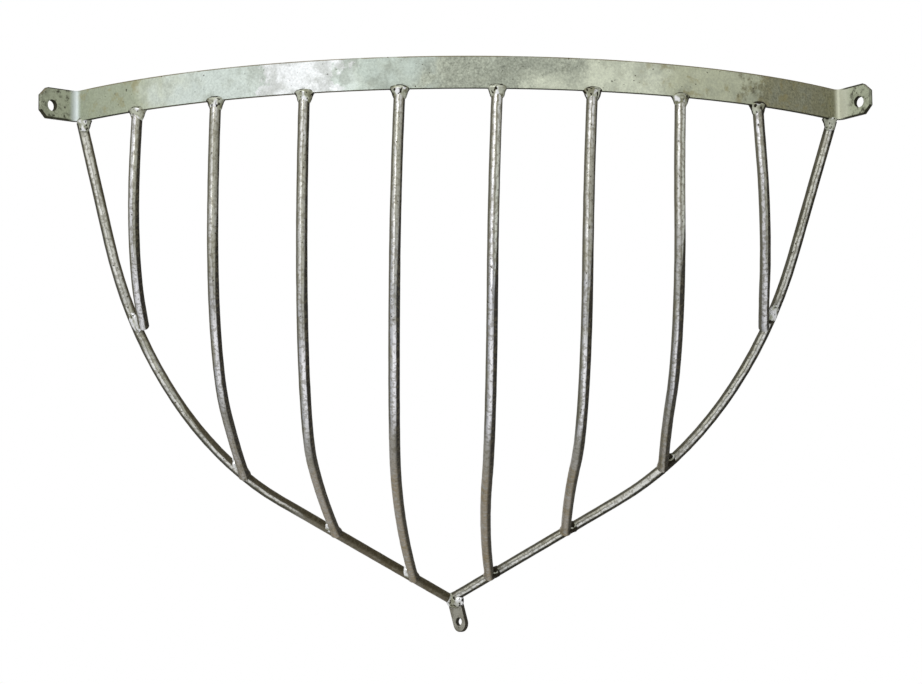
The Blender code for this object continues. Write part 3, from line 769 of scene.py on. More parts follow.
def bar_painted_light_and_tail_group():
    """Zinc on a round bar: painted highlights with a darker painted seam between them, a painted highlight
    in the bend, painted shade down both sides and a brown tail.

    Across the bar, -1 is its left side and 1 its right side."""
    group, take, give = start_group(
        "bar painted light and tail",
        {
            "Colour": (0.5, 0.5, 0.5), "Left Highlight": (0.75, 0.76, 0.82), "Right Highlight": (0.62, 0.68, 0.58),
            "Left Highlight At": -0.3, "Right Highlight At": 0.3, "Highlight Width": 0.2,
            "Left Shade": (0.2, 0.19, 0.14), "Right Shade": (0.06, 0.05, 0.04),
            "Left Shade At": -0.7, "Right Shade Above": 0.5, "Right Shade Below": 0.4,
            "Bend Highlight": (0.9, 0.9, 0.9), "Tail": (0.2, 0.18, 0.14), "Rust": (0.2, 0.15, 0.08),
            "Tail At": 99.0, "Tail Strength": 0.0,
        },
        ("Colour", "Painted Shade", "Height"),
    )
    straight = read_attribute(group, "straight")["Vector"]
    axes = axes_of(group, straight)
    only_down = group.nodes.new("ShaderNodeCombineXYZ")
    feed(group, only_down.inputs["Z"], axes["Z"])
    down = only_down.outputs["Vector"]
    wander = plus(
        group, swing(group, cloud(group, straight, 0.012, 4.0), 0.5),
        swing(group, cloud(group, down, 0.09, 2.0), 0.5)
    )
    plain = times(group, axes["X"], 1 / BAR_RADIUS)
    sideways = plus(group, plain, wander)
    from_tail = plus(group, minus(group, axes["Z"], take["Tail At"]), times(group, wander, 0.03))
    tail = times(group, ramp(group, from_tail, *TAIL_STARTS), take["Tail Strength"])
    off_tail = ramp(group, tail, 0, 1, 1, 0)

    streaks, strength = highlight_streaks(group, straight, down)
    strength = times(group, strength, off_tail)
    colour = with_brown_tail(group, take, straight, from_tail, tail)
    colour = with_painted_highlights(group, take, colour, sideways, from_tail, strength)
    # a darker painted seam between the two painted highlights, in the colour of the left side's shade
    seam_at = times(group, plus(group, take["Left Highlight At"], take["Right Highlight At"]), 0.5)
    seam = times(group, ramp(group, apart(group, sideways, seam_at), 0.12, 0.02, 0.0, 0.5), off_tail)
    colour = blend_colours(group, seam, colour, take["Left Shade"])
    # a painted highlight across the bend
    bend_highlight = times(
        group, ramp(group, apart(group, sideways, 0.03), 0.44, 0.20),
        between(group, from_tail, *BEND_HIGHLIGHT), ramp(group, streaks, 0.55, 1, 0.78, 1.0)
    )
    colour = blend_colours(group, bend_highlight, colour, take["Bend Highlight"])

    # painted shade down both sides, only on the half of the bar that faces the room
    in_front = ramp(group, times(group, axes["Y"], 1 / BAR_RADIUS), -0.15, 0.15)
    left, right = painted_side_shade(group, take, plain, wander, from_tail, tail)
    left = times(group, left, in_front)
    right = times(group, right, in_front)
    colour = blend_colours(group, left, colour, take["Left Shade"])
    colour = blend_colours(group, right, colour, take["Right Shade"])
    feed(group, give["Colour"], colour)
    feed(group, give["Painted Shade"], largest(group, left, right))
    feed(group, give["Height"], cloud(group, straight, 0.0045, 3.0))
    return group


bar_painted_light_and_tail = bar_painted_light_and_tail_group()

BAR_MOTTLE = (0.15, 0.135, 0.09)


def bar_finish(name, pale, lower_pale, dull, dull_share, painted_light_and_tail_settings):
    """Round bar in zinc: paler above or below, mottled brown and pitted, with painted highlights and
    painted shade down its sides.
    """
    material, tree = zinc_material(name)
    lower = ramp(tree, axes_of(tree, object_place(tree))["Z"], -0.08, -0.26)
    zinc = place_group(tree, zinc_patches, {
        "Pale": blend_colours(tree, lower, pale, lower_pale), "Dull": dull, "Patch Size": 0.05,
        "Dull Share": dull_share, "Spangle Size": 0.006, "Spangle": 0.08, "Grain": 0.9,
    })
    # the bar's painted highlights and painted shade, and its brown tail
    grain = place_group(tree, bar_painted_light_and_tail, {"Colour": zinc["Colour"], **painted_light_and_tail_settings})
    mottled = place_group(tree, specks_in_zinc, {
        "Colour": grain["Colour"], "Speck Colour": BAR_MOTTLE, "Speck Size": 0.0038, "Amount": 0.48,
    })
    part_mottled = blend_colours(tree, 0.50, grain["Colour"], mottled["Colour"])
    specks = place_group(
        tree, specks_in_zinc, {"Colour": part_mottled, "Speck Size": 0.0030, "Amount": 0.31}
    )
    worn = ramp(tree, zinc["Dullness"], 0, 1, 0.34, 0.50)
    finish_zinc(
        tree, specks["Colour"], worn, metallic=0.28, shade_and_grime=grain["Painted Shade"], height=grain["Height"],
        depth=0.00035, shade_and_grime_roughness=0.9
    )
    return material


ROD_PALE = (0.52, 0.52, 0.43)
ROD_LOWER_PALE = (0.43, 0.44, 0.42)
ROD_DULL = (0.26, 0.26, 0.20)
ROD_DULL_SHARES = {LEFT: 0.50, RIGHT: 0.46}
# Colour of the painted highlight in a rod's bend
ROD_BEND_HIGHLIGHT = (0.80, 0.80, 0.76)
ROD_TAIL_FROM = 0.500
ROD_PAINTED_LIGHT_AND_TAIL = {                   # the outer painted highlight is the brighter one, and the left rod has a brown tail
    LEFT: {
        "Left Highlight": (0.95, 0.95, 0.92), "Left Highlight At": -0.24, "Highlight Width": 0.24,
        "Right Highlight": (0.56, 0.56, 0.46), "Right Highlight At": 0.20,
        "Left Shade": (0.060, 0.058, 0.046), "Left Shade At": -0.60,
        "Right Shade": (0.075, 0.063, 0.036), "Right Shade Above": 0.62, "Right Shade Below": -0.04,
        "Tail": (0.185, 0.165, 0.120), "Rust": (0.100, 0.075, 0.035), "Tail Strength": 0.9,
    },
    RIGHT: {
        "Left Highlight": (0.74, 0.73, 0.62), "Left Highlight At": -0.36, "Highlight Width": 0.20,
        "Right Highlight": (1.0, 1.0, 0.97), "Right Highlight At": 0.24,
        "Left Shade": (0.075, 0.070, 0.045), "Left Shade At": -0.52,
        "Right Shade": (0.016, 0.014, 0.009), "Right Shade Above": 0.44, "Right Shade Below": 0.50,
    },
}

rod_lines = {}
for number, (name, side, lean, rise, radius) in enumerate(ROD_SHAPES):
    pattern = ROD_PATTERN + number
    rod_lines[side] = rod_line(lean, rise, radius)
    spots = [on_wall(side, spot.x, ROD_OFF_WALL, spot.y) for spot in rod_lines[side]]
    past_corner = spots[-1] + (spots[-1] - spots[-2]).normalized() * BAR_DIAMETER
    mitre = (Vector((side * MITRE_GAP, 0, 0)), Vector((-side, 0, 0)))
    rod = zinced_bar(name.replace("side_rod", "rod"), spots[:-1] + [past_corner], pattern, mitre)
    # this rod's painted highlights and painted shade, and its tail
    grain = {**ROD_PAINTED_LIGHT_AND_TAIL[side], "Bend Highlight": ROD_BEND_HIGHLIGHT, "Tail At": pattern + ROD_TAIL_FROM}
    dull_share = ROD_DULL_SHARES[side]
    rod.data.materials.append(
        bar_finish(f"{rod.name}_zinc", ROD_PALE, ROD_LOWER_PALE, ROD_DULL, dull_share, grain)
    )
    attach(rod, "root")
    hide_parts(name)


# Upright bars. Eight lengths of the same round bar, each hung square from the underside of the band,
# bent back under the hay and sawn off where it meets a side rod. They were bowed a little sideways
# as they were welded.

FIRST_BAR = math.radians(-35.73)
BAR_PITCH = math.radians(9.72)

# One value for each bar, from the left: bend radius, rise of its tail in degrees, how far its foot is
# to the right of its top, how far out its foot lies from the rod that it laps, its bow to the right
BAR_BENDS = (0.150, 0.195, 0.195, 0.195, 0.195, 0.195, 0.195, 0.150)
BAR_RISES = (32, 22, 14, 16, 14.5, 13, 21, 30)
FOOT_SHIFTS = (-0.002, 0.0175, 0.027, 0.022, 0.014, 0.0015, 0.011, 0.0245)
FOOT_LAPS = (0.0123, 0, 0, 0, 0, 0, 0, 0.006)
BAR_BOWS = (-0.0035, -0.010, -0.0135, -0.017, -0.015, -0.011, -0.008, -0.003)

FOOT_IN_ROD = 0.0040             # a sawn foot stops this far short of the rod's axis
FOOT_SPREAD = 0.26
LAPPED_OVERRUN = 0.002
PROFILE_STEP = 0.01
BAR_PATTERN = 3.0
BAR_PATTERN_STEP = 1.7
BAR_PALE = (0.375, 0.37, 0.305)
BAR_LOWER_PALE = (0.44, 0.45, 0.48)
BAR_DULL = (0.30, 0.295, 0.24)
# Painted highlights down the bars: which bars have the strong ones, and their colours, places and widths
BARS_WITH_STRONG_LEFT_HIGHLIGHT = (1, 5, 8)
BARS_WITH_STRONG_RIGHT_HIGHLIGHT = (5, 7)
PLAIN_LEFT_HIGHLIGHT = (0.55, 0.55, 0.54)
STRONG_LEFT_HIGHLIGHT = (0.74, 0.74, 0.78)
PLAIN_RIGHT_HIGHLIGHT = {"Right Highlight": (0.40, 0.40, 0.335), "Right Highlight At": 0.22}
STRONG_RIGHT_HIGHLIGHT = {"Right Highlight": (0.74, 0.77, 0.68), "Right Highlight At": 0.48}
HIGHLIGHT_WIDTH = 0.19
LAPPED_HIGHLIGHT_WIDTH = 0.30
BAR_PAINTED_LIGHT_AND_TAIL = {                    # what all eight share
    "Left Highlight At": -0.30, "Left Shade": (0.120, 0.115, 0.085), "Left Shade At": -0.68,
    "Right Shade": (0.028, 0.024, 0.017), "Bend Highlight": (0.96, 0.96, 1.0),
    "Tail": (0.35, 0.338, 0.300), "Rust": (0.290, 0.205, 0.085),
}

# One value for each bar again: share of dull zinc, where the painted shade down its right side starts
# above and below the bend, and how far down its tail turns brown and how much
BAR_DULL_SHARES = (0.50, 0.48, 0.46, 0.44, 0.46, 0.50, 0.48, 0.52)
RIGHT_SHADES_ABOVE = (0.52, 0.76, 0.56, 0.64, 0.84, 0.70, 0.90, 0.44)
RIGHT_SHADES_BELOW = (0.32, 0.32, 0.32, 0.32, 0.22, 0.18, 0.02, 0.30)
TAILS_FROM = (0.235, 0.300, 0.335, 0.315, 0.325, 0.335, 0.305, 0.255)
TAIL_STRENGTHS = (0.0, 0.50, 0.75, 0.85, 0.85, 0.75, 0.45, 0.0)


def upright_line(top, foot, rise, radius, bow):
    """An upright bar's axis: straight drop, bend toward the corner, straight tail to the foot."""
    start = Vector((top.y, top.z))
    finish = Vector((foot.y, foot.z))
    corner = Vector((top.y, foot.z + (foot.y - top.y) * math.tan(rise)))
    profile = even_steps(bent_line(start, corner, finish, radius), PROFILE_STEP)
    total = len(profile) - 1
    points = []
    for number, spot in enumerate(profile):
        share = number / total
        sideways = top.x + (foot.x - top.x) * share + bow * 4 * share * (1 - share)
        points.append(Vector((sideways, spot.x, spot.y)))
    return points


def upright_painted_light_and_tail(number, lapped, pattern):
    """The painted highlights, painted shade and brown tail of one upright bar."""
    index = number - 1
    return {
        **BAR_PAINTED_LIGHT_AND_TAIL,
        **(STRONG_RIGHT_HIGHLIGHT if number in BARS_WITH_STRONG_RIGHT_HIGHLIGHT else PLAIN_RIGHT_HIGHLIGHT),
        "Left Highlight": STRONG_LEFT_HIGHLIGHT if number in BARS_WITH_STRONG_LEFT_HIGHLIGHT else PLAIN_LEFT_HIGHLIGHT,
        "Highlight Width": LAPPED_HIGHLIGHT_WIDTH if lapped else HIGHLIGHT_WIDTH,
        "Right Shade Above": RIGHT_SHADES_ABOVE[index],
        "Right Shade Below": RIGHT_SHADES_BELOW[index],
        "Tail At": pattern + TAILS_FROM[index],
        "Tail Strength": TAIL_STRENGTHS[index],
    }


bar_joints = []
for index, bow in enumerate(BAR_BOWS):
    number = index + 1
    angle = FIRST_BAR + BAR_PITCH * index
    side = LEFT if angle < 0 else RIGHT
    lap = FOOT_LAPS[index]
    outward = Vector((math.sin(angle), -math.cos(angle), 0))
    top = outward * BAND_MIDDLE + Vector((0, 0, BAND_LOW))
    from_corner = side * (top.x + FOOT_SHIFTS[index]) / math.sqrt(0.5) + ROD_OFF_WALL + lap
    rod_spot = on_wall(side, from_corner, ROD_OFF_WALL, height_on(rod_lines[side], from_corner))
    off_rod = on_wall(side, 0, 1, 0)
    foot = rod_spot + off_rod * lap
    points = upright_line(top, foot, math.radians(BAR_RISES[index]), BAR_BENDS[index], bow)
    tail = (points[-2] - points[-1]).normalized()
    points[-1] = points[-1] - tail * LAPPED_OVERRUN if lap else points[-1] + tail * FOOT_IN_ROD
    pattern = BAR_PATTERN + BAR_PATTERN_STEP * number
    bar = zinced_bar(f"bar_{number}", points, pattern, spread=0.0 if lap else FOOT_SPREAD)
    # this bar's painted highlights and painted shade, and its tail
    grain = upright_painted_light_and_tail(number, lap > 0, pattern)
    dull_share = BAR_DULL_SHARES[index]
    bar.data.materials.append(
        bar_finish(f"bar_zinc_{number}", BAR_PALE, BAR_LOWER_PALE, BAR_DULL, dull_share, grain)
    )
    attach(bar, "root")
    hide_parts(f"upright_bar_{number}")
    further = from_corner + BAR_DIAMETER
    rod_ahead = on_wall(side, further, ROD_OFF_WALL, height_on(rod_lines[side], further))
    along_rod = (rod_ahead - rod_spot).normalized()
    bar_joints.append((number, side, lap, top, outward, rod_spot, off_rod, tail, along_rod))


# Bottom lug. A short piece of flat bar with a round end and one bolt hole, lying flat on the right
# wall and welded square under the joint of the two rods.

LUG_WIDTH = 0.0212
LUG_THICKNESS = 0.0055
LUG_LENGTH = 0.037
LUG_LEAN = math.radians(18)
LUG_FROM_CORNER = 0.002
LUG_BELOW_ROD = 0.0003
SMALL_HOLE = 0.009
HOLE_FROM_TIP = 0.013
ROUND_END_STEPS = 24
LUG_EDGE_ROUND = 0.0008
LUG_GREY = (0.33, 0.325, 0.275)
LUG_DARK = (0.20, 0.19, 0.15)
# painted shade along the lug's edges and in its hole
LUG_EDGE_SHADE = (0.035, 0.030, 0.020)


def lug_outline():
    """The lug's outline in its own frame, its axis down -Y from its square end."""
    half = LUG_WIDTH / 2
    middle = LUG_LENGTH - half
    corners = [Vector((half, 0)), Vector((-half, 0))]
    for step in range(ROUND_END_STEPS + 1):
        angle = math.pi + math.pi * step / ROUND_END_STEPS
        corners.append(Vector((math.cos(angle) * half, -middle + math.sin(angle) * half)))
    return corners


def lug_blank(lug_top, lean):
    """The lug before its hole is drilled."""
    bm = bmesh.new()
    flat = [lug_top + lean @ spot for spot in lug_outline()]
    face = bm.faces.new([bm.verts.new(on_wall(RIGHT, spot.x, 0, spot.y)) for spot in flat])
    pushed = bmesh.ops.extrude_face_region(bm, geom=[face])
    moved = [item for item in pushed["geom"] if isinstance(item, bmesh.types.BMVert)]
    bmesh.ops.translate(bm, verts=moved, vec=on_wall(RIGHT, 0, LUG_THICKNESS, 0))
    return mesh_of(bm, "lug_blank")


def lug_finish():
    """Dull olive-grey zinc, with painted shade along its edges, on its side faces and in its hole."""
    material, tree = zinc_material("lug_zinc")
    zinc = place_group(tree, zinc_patches, {
        "Pale": LUG_GREY, "Dull": LUG_DARK, "Patch Size": 0.016, "Dull Share": 0.45,
        "Spangle Size": 0.005, "Spangle": 0.08, "Grain": 0.8,
    })
    specks = place_group(
        tree, specks_in_zinc, {"Colour": zinc["Colour"], "Speck Size": 0.0030, "Amount": 0.34}
    )
    square_on = tree.nodes.new("ShaderNodeVectorMath")
    square_on.operation = "DOT_PRODUCT"
    square_on.inputs[1].default_value = on_wall(RIGHT, 0, 1, 0)
    feed(tree, square_on.inputs[0], object_facing(tree))
    side_face = ramp(tree, apart(tree, square_on.outputs["Value"], 0.0), 0.85, 0.5)
    # painted shade on the rounded edges, in the hole and on the side faces
    edge = largest(
        tree, read_attribute(tree, "edge")["Fac"], read_attribute(tree, "bore")["Fac"], side_face
    )
    colour = tint(tree, edge, 0.92, specks["Colour"], LUG_EDGE_SHADE)
    worn = ramp(tree, zinc["Dullness"], 0, 1, 0.42, 0.58)
    finish_zinc(tree, colour, worn, metallic=0.30, shade_and_grime=edge, height=zinc["Height"], depth=0.0003)
    return material


lean = Matrix.Rotation(LUG_LEAN, 2)
rod_rise = ROD_SHAPES[1][3]      # the right rod's
below_axis = (BAR_RADIUS + LUG_BELOW_ROD) / math.cos(rod_rise)
below_apex = (ROD_OFF_WALL - LUG_FROM_CORNER) * math.tan(rod_rise) + below_axis
lug_top = Vector((LUG_FROM_CORNER, APEX_HEIGHT - below_apex)) + lean @ Vector((LUG_WIDTH / 2, 0))
hole = lug_top + lean @ Vector((0, HOLE_FROM_TIP - LUG_LENGTH))
hole_middle = on_wall(RIGHT, hole.x, LUG_THICKNESS / 2, hole.y)
blank = add_piece("lug", lug_blank(lug_top, lean))
lug_drill = drill("bottom_lug_drill", hole_middle, on_wall(RIGHT, 0, 1, 0), SMALL_HOLE, 4 * LUG_THICKNESS)
bottom_lug = drilled_and_rounded(blank, [lug_drill], LUG_EDGE_ROUND)
bottom_lug.data.materials.append(lug_finish())
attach(bottom_lug, "root")
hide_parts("bottom_lug")


# Weld beads. Each joint has one run of weld with the zinc over it: a shiny, lumpy collar round the top of
# a bar or rod, a bead in the angle where a foot meets the rod, and one at the bottom that takes both rods
# and the lug. Their white is a painted highlight, and much of their black is painted shade.

COLLAR_ALONG = BAR_RADIUS + 0.0046       # a collar's half width along the band
ROD_COLLAR_ACROSS = BAR_RADIUS + 0.0031  # and a rod's, square to its wall
ROD_COLLAR_STANDOFF = 0.0042             # its middle from the rod's axis
COLLAR_OUT = BAR_RADIUS + 0.0021
COLLAR_ABOVE = 0.0048
COLLAR_BELOW = 0.0122
COLLAR_TAPER = 0.37
# how far each collar's painted shade spreads, and how many black blotches of grime it has
COLLAR_SHADE_AND_GRIME = (0.0, 0.12, 0.0, 0.10, 0.05, 0.26, 0.08, 0.34)
ROD_COLLAR_SHADE_AND_GRIME = 0.10
FOOT_BEADS = (                   # half sizes, how far up the rod and how far above it, for bars 2 to 7
    ((0.0095, 0.0086, 0.0066), 0.0140, 0.0040),
    ((0.0100, 0.0082, 0.0066), 0.0108, 0.0020),
    ((0.0100, 0.0080, 0.0060), 0.0112, 0.0008),
    ((0.0090, 0.0082, 0.0070), 0.0098, -0.0006),
    ((0.0090, 0.0082, 0.0070), 0.0098, -0.0006),
    ((0.0098, 0.0084, 0.0072), 0.0102, 0.0004),
)
# how strong the painted highlight on a foot's bead is: strong on the left, weak on the right
FOOT_HIGHLIGHT = {LEFT: 0.9, RIGHT: 0.3}
LAP_BEAD = (0.0116, 0.0063, 0.0048)
LAP_BEAD_HIGHLIGHT = 0.75
LAP_BEAD_OUTSET = 0.0045
LAP_BEAD_RISES = {LEFT: 0.0060, RIGHT: 0.0165}
APEX_BEAD = (0.0118, 0.0056, 0.0100)
APEX_BEAD_HIGHLIGHT = 0.62
APEX_BEAD_MIDDLE = Vector((0.0055, -0.0160, APEX_HEIGHT - 0.0012))
APEX_TURN = math.radians(25)
FOOT_PATTERN = 20                # the patterns keep two beads from having the same lumps
ROD_COLLAR_PATTERN = 40
APEX_PATTERN = 50
BEAD_FINENESS = 5
# white of the painted highlights on the welds; the last is the black of their painted shade and pits
WELD_HIGHLIGHT = (0.84, 0.85, 0.86)
WELD_PALE = (0.48, 0.50, 0.41)
WELD_DULL = (0.225, 0.225, 0.150)
WELD_SHADE_AND_PITS = (0.025, 0.021, 0.013)


def weld_finish():
    """Zinc over weld metal: olive grey, white with a painted highlight where a bead is 'bright', and black
    with painted shade and pits where its other attribute is high.
    """
    material, tree = zinc_material("weld_zinc")
    zinc = place_group(tree, zinc_patches, {
        "Pale": WELD_PALE, "Dull": WELD_DULL, "Patch Size": 0.012, "Dull Share": 0.48,
        "Spangle Size": 0.004, "Spangle": 0.06, "Grain": 0.5,
    })
    place = object_place(tree)
    uneven = minus(tree, cloud(tree, place, 0.006, 2.0), 0.5)
    # a white painted highlight, then black painted shade and pits
    bright = ramp(tree, plus(tree, read_attribute(tree, "bright")["Fac"], uneven), 0.35, 0.95)
    colour = blend_colours(tree, bright, zinc["Colour"], WELD_HIGHLIGHT)
    pits = ramp(tree, cloud(tree, place, 0.0055, 1.0), 0.72, 0.77)
    shade_and_pits = plus(tree, read_attribute(tree, "shade_and_pits")["Fac"], times(tree, uneven, 0.5))
    dark = largest(tree, pits, ramp(tree, shade_and_pits, 0.45, 0.80))
    colour = blend_colours(tree, dark, colour, WELD_SHADE_AND_PITS)
    worn = ramp(tree, bright, 0, 1, 0.46, 0.28)
    lumps = cloud(tree, place, 0.0060, 2.0)
    finish_zinc(tree, colour, worn, metallic=0.35, shade_and_grime=dark, height=lumps, depth=0.0004)
    return material


weld_zinc = weld_finish()


def weld_mesh(name, shape, placed, pattern):
    """A closed lump of weld; shape turns a way from its middle into a point, an amount of painted shade and
    pits and an amount of painted highlight.
    """
    bm = bmesh.new()
    bmesh.ops.create_icosphere(bm, subdivisions=BEAD_FINENESS, radius=1.0)
    shade_layer = bm.verts.layers.float.new("shade_and_pits")
    bright_layer = bm.verts.layers.float.new("bright")
    for vert in bm.verts:
        way = vert.co.normalized()
        lump = noise.noise(way * 1.7 + Vector((7.0 * pattern, 0, 0)))
        ripple = noise.noise(way * 3.6 + Vector((0, 5.0 * pattern, 0)))
        spot, shade_and_pits, bright = shape(way, lump, ripple)
        vert[shade_layer] = max(0.0, min(1.0, shade_and_pits))
        vert[bright_layer] = max(0.0, min(1.0, bright))
        vert.co = placed @ spot
    mesh = mesh_of(bm, name)
    mesh.shade_smooth()
    bead = add_piece(name, mesh)
    bead.data.materials.append(weld_zinc)
    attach(bead, "root")
    return bead


def joint_axes(middle, along, outward):
    """Place and axes of a bead: along the joint, out from it and across it."""
    across = along.cross(outward).normalized()
    outward = across.cross(along).normalized()
    axes = Matrix((along.normalized(), outward, across)).transposed().to_4x4()
    return Matrix.Translation(middle) @ axes


def bead_between(name, pattern, size, placed, highlight, shaded_with_glint=False, pitted=0.0, end_shadow=0.0):
    """A bead laid in the angle between two bars, by its half sizes along, out from and across the joint.

    Its last four settings say how strong its painted highlight is; whether it is painted black, in shade,
    but for a painted glint on the upper half of a raised ring; how many pits it has, a pitted one being
    black at one end too; and how black a painted shadow at its lower end is."""
    hole_way = Vector((0.7, 0.7, 0.0)).normalized()

    def shape(way, lump, ripple):
        swell = 1 + 0.10 * lump + 0.07 * ripple
        # black for pits and painted shade, white for a painted highlight
        shade_and_pits = max(0.10 - (1.2 + pitted) * ripple, (-0.25 - way.x) * 2.5 * end_shadow)
        white = highlight + 0.9 * lump
        if shaded_with_glint:
            off_ring = abs((way - hole_way).length - 0.50)
            shade_and_pits = max(shade_and_pits, min(0.9, 6 * off_ring), -3 * way.z)
            swell += 0.10 * max(0.0, 1 - off_ring / 0.3)
        if pitted:
            shade_and_pits = max(shade_and_pits, (way.x - 0.80) * 5)
            white = highlight + 0.8 * (abs(way.x) - 0.5) + 0.6 * lump
        spot = Vector((way.x * size[0], way.y * size[1], way.z * size[2])) * swell
        return spot, shade_and_pits, white

    return weld_mesh(name, shape, placed, pattern)


def collar_under_band(name, pattern, top, along, outward, reach, shade_and_grime):
    """A funnel of weld round a bar's top, from the band's face down onto the bar; reach is its half width.

    Painted shade lies black in the crease where its upper edge meets the face of the band and down both
    flanks, spreading with its grime, which also leaves black blotches; a painted highlight lies on its
    front."""
    along = along.normalized()
    outward = outward.normalized()

    def shape(way, lump, ripple):
        swell = 1 + 0.05 * lump + 0.04 * ripple
        flat = Vector((way.x, way.y))
        widest = 1.0
        if way.z < 0:
            depth = -way.z
            widest = 1 - COLLAR_TAPER * min(1.0, depth * 1.15) ** 0.65
            width = math.sqrt(max(0.0, 1 - depth ** 7)) * widest
            flat = flat.normalized() * width if flat.length > 1e-6 else flat
            height = -COLLAR_BELOW * depth
        else:
            height = COLLAR_ABOVE * way.z
        spot = Vector((flat.x * reach, flat.y * COLLAR_OUT, height)) * swell
        to_right = (along * flat.x + outward * flat.y).x / widest
        # painted shade in the crease under the band and down both flanks, and a painted highlight on the
        # front
        crevice = (height / COLLAR_ABOVE - 0.42 + shade_and_grime + 0.9 * lump) * 2.0
        flank = (abs(to_right) - 0.76 + 0.4 * shade_and_grime) * 3.6
        white = 0.62 - 0.8 * shade_and_grime + 1.6 * lump - abs(to_right + 0.15) - 0.8 * max(0.0, way.z)
        return spot, max(crevice, flank, 1.2 * shade_and_grime - 0.25 - 2.2 * ripple), white

    upright = Matrix((along, outward, Vector((0, 0, 1)))).transposed().to_4x4()
    return weld_mesh(name, shape, Matrix.Translation(top) @ upright, pattern)


for number, side, lap, top, outward, rod_spot, off_rod, tail, along_rod in bar_joints:
    along_band = Vector((-outward.y, outward.x, 0))
    shade_and_grime = COLLAR_SHADE_AND_GRIME[number - 1]
    collar = collar_under_band(
        f"collar_weld_{number}", number, top, along_band, outward, COLLAR_ALONG, shade_and_grime
    )
    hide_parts(f"top_weld_{number}")
    name = f"foot_bead_{number}"
    pattern = FOOT_PATTERN + number
    if lap:
        outset = off_rod.cross(along_rod) * -side * LAP_BEAD_OUTSET
        middle = rod_spot + off_rod * BAR_RADIUS + along_rod * LAP_BEAD_RISES[side] + outset
        placed = joint_axes(middle, along_rod, off_rod)
        # a painted shadow at the lower end of the right lapped bead
        end_shadow = 1.0 if side == RIGHT else 0.0
        foot = bead_between(name, pattern, LAP_BEAD, placed, LAP_BEAD_HIGHLIGHT, end_shadow=end_shadow)
    else:
        half_sizes, up_rod, lift = FOOT_BEADS[number - 2]
        middle = rod_spot + tail * BAR_RADIUS + along_rod * up_rod + Vector((0, 0, lift))
        placed = joint_axes(middle, along_rod, tail)
        # the right feet's beads are painted black, in shade, but for a painted glint
        foot = bead_between(name, pattern, half_sizes, placed, FOOT_HIGHLIGHT[side], shaded_with_glint=side == RIGHT)
    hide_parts(f"foot_weld_{number}")

for side, label in ((LEFT, "left"), (RIGHT, "right")):
    middle = on_wall(side, ROD_TOP_FROM_CORNER, ROD_OFF_WALL + ROD_COLLAR_STANDOFF, BAND_LOW)
    off_wall = on_wall(side, 0, 1, 0)
    along_wall = on_wall(side, 1, 0, 0)
    pattern = ROD_COLLAR_PATTERN + side
    collar = collar_under_band(
        f"{label}_rod_bead", pattern, middle, off_wall, along_wall, ROD_COLLAR_ACROSS, ROD_COLLAR_SHADE_AND_GRIME
    )
    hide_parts(f"{label}_rod_weld")

along_apex = Vector((math.cos(APEX_TURN), -math.sin(APEX_TURN), 0))
out_of_apex = Vector((-math.sin(APEX_TURN), -math.cos(APEX_TURN), 0))
placed = joint_axes(APEX_BEAD_MIDDLE, along_apex, out_of_apex)
bottom_bead = bead_between("bottom_bead", APEX_PATTERN, APEX_BEAD, placed, APEX_BEAD_HIGHLIGHT, pitted=1.0)
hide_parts("apex_weld")


# The room. A pale floor well below the rack, which fades out at its rim, a large soft lamp to the
# left of the camera, another high behind the rack and a pale sky all round.

FLOOR_MIDDLE = Vector((0, -0.3, -0.85))
FLOOR_RADIUS = 1.7
FLOOR_PALE = (0.8, 0.8, 0.79, 1)
FLOOR_GLOW = 0.42
SKY_LIGHT = 0.27
RACK_MIDDLE = Vector((0, -0.35, -0.28))
LAMPS = (                        # name, place, size, watts
    ("front_lamp", (-1.6, -4.3, 1.5), 1.8, 132),
    ("back_lamp", (0.6, 4.0, 3.2), 2.0, 120),
)
CAMERA_PLACE = (-0.1126, -3.1304, -0.5623)
CAMERA_TURN = (96.30605, 0.60595, -2.30463)      # degrees
CAMERA_LENS = 96.837
SENSOR_WIDTH = 36


def seen_by_camera(tree):
    """1 for what the camera sees, also mirrored or through glass, and 0 for what lights the rack."""
    path = tree.nodes.new("ShaderNodeLightPath").outputs
    return largest(tree, path["Is Camera Ray"], path["Is Glossy Ray"], path["Is Transmission Ray"])


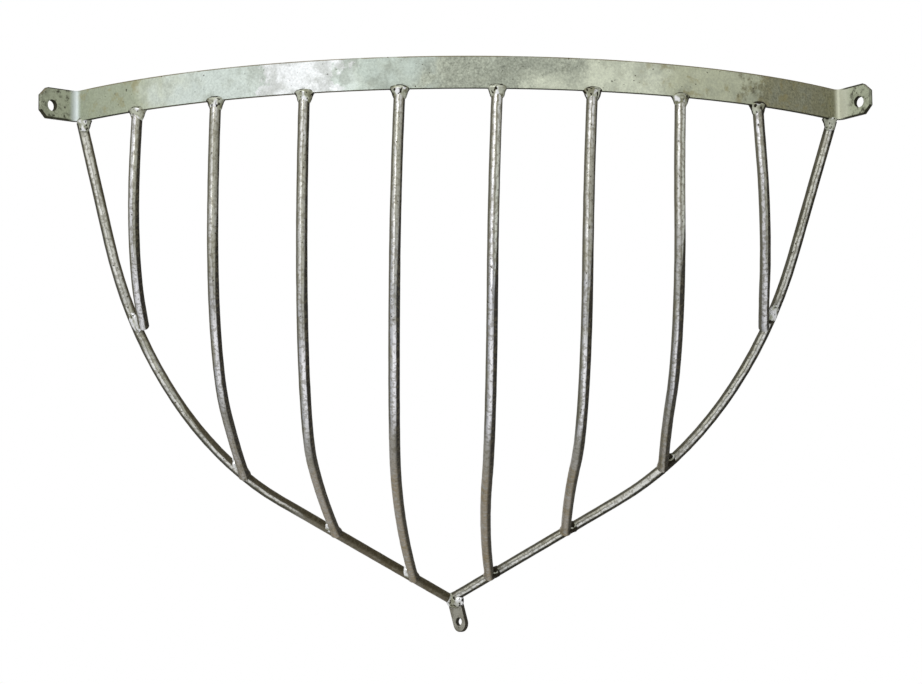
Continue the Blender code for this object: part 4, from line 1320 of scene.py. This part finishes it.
def floor_finish():
    """Pale paint with a glow of its own, clear from below and at the rim."""
    material = bpy.data.materials.new("floor_paint")
    material.use_nodes = True
    tree = material.node_tree
    tree.nodes.clear()
    to_rim = tree.nodes.new("ShaderNodeVectorMath")
    to_rim.operation = "DISTANCE"
    to_rim.inputs[1].default_value = FLOOR_MIDDLE
    feed(tree, to_rim.inputs[0], object_place(tree))
    fading = ramp(tree, to_rim.outputs["Value"], 0.45 * FLOOR_RADIUS, 0.97 * FLOOR_RADIUS)
    fading = largest(tree, fading, tree.nodes.new("ShaderNodeNewGeometry").outputs["Backfacing"])
    paint = tree.nodes.new("ShaderNodeBsdfDiffuse")
    paint.inputs["Color"].default_value = FLOOR_PALE
    glow = tree.nodes.new("ShaderNodeEmission")
    glow.inputs["Color"].default_value = (1, 1, 1, 1)
    feed(tree, glow.inputs["Strength"], times(tree, seen_by_camera(tree), FLOOR_GLOW))
    lit = tree.nodes.new("ShaderNodeAddShader")
    feed(tree, lit.inputs[0], paint.outputs["BSDF"])
    feed(tree, lit.inputs[1], glow.outputs["Emission"])
    surface = tree.nodes.new("ShaderNodeMixShader")
    feed(tree, surface.inputs["Fac"], fading)
    feed(tree, surface.inputs[1], lit.outputs["Shader"])
    feed(tree, surface.inputs[2], tree.nodes.new("ShaderNodeBsdfTransparent").outputs["BSDF"])
    output = tree.nodes.new("ShaderNodeOutputMaterial")
    feed(tree, output.inputs["Surface"], surface.outputs["Shader"])
    return material


bm = bmesh.new()
bmesh.ops.create_circle(bm, cap_ends=True, segments=96, radius=FLOOR_RADIUS)
bmesh.ops.translate(bm, verts=bm.verts, vec=FLOOR_MIDDLE)
floor_mesh = mesh_of(bm, "floor")
if floor_mesh.polygons[0].normal.z < 0:
    floor_mesh.flip_normals()
floor = add_piece("floor", floor_mesh)
floor.data.materials.append(floor_finish())

world = bpy.data.worlds.new("room")
world.use_nodes = True
bpy.context.scene.world = world
sky = world.node_tree.nodes["Background"]
sky.inputs["Color"].default_value = (1, 1, 1, 1)
brightness = ramp(world.node_tree, seen_by_camera(world.node_tree), 0, 1, SKY_LIGHT, 1.0)
feed(world.node_tree, sky.inputs["Strength"], brightness)

for name, place, size, watts in LAMPS:
    lamp_data = bpy.data.lights.new(name, "AREA")
    lamp_data.size = size
    lamp_data.energy = watts
    lamp = bpy.data.objects.new(name, lamp_data)
    lamp.location = place
    lamp.rotation_euler = (RACK_MIDDLE - Vector(place)).to_track_quat("-Z", "Y").to_euler()
    bpy.context.scene.collection.objects.link(lamp)

camera_data = bpy.data.cameras.new("camera")
camera_data.sensor_width = SENSOR_WIDTH
camera_data.lens = CAMERA_LENS
camera = bpy.data.objects.new("camera", camera_data)
camera.location = CAMERA_PLACE
camera.rotation_euler = [math.radians(turn) for turn in CAMERA_TURN]
bpy.context.scene.collection.objects.link(camera)
bpy.context.scene.camera = camera

bpy.context.scene.view_settings.view_transform = "Standard"
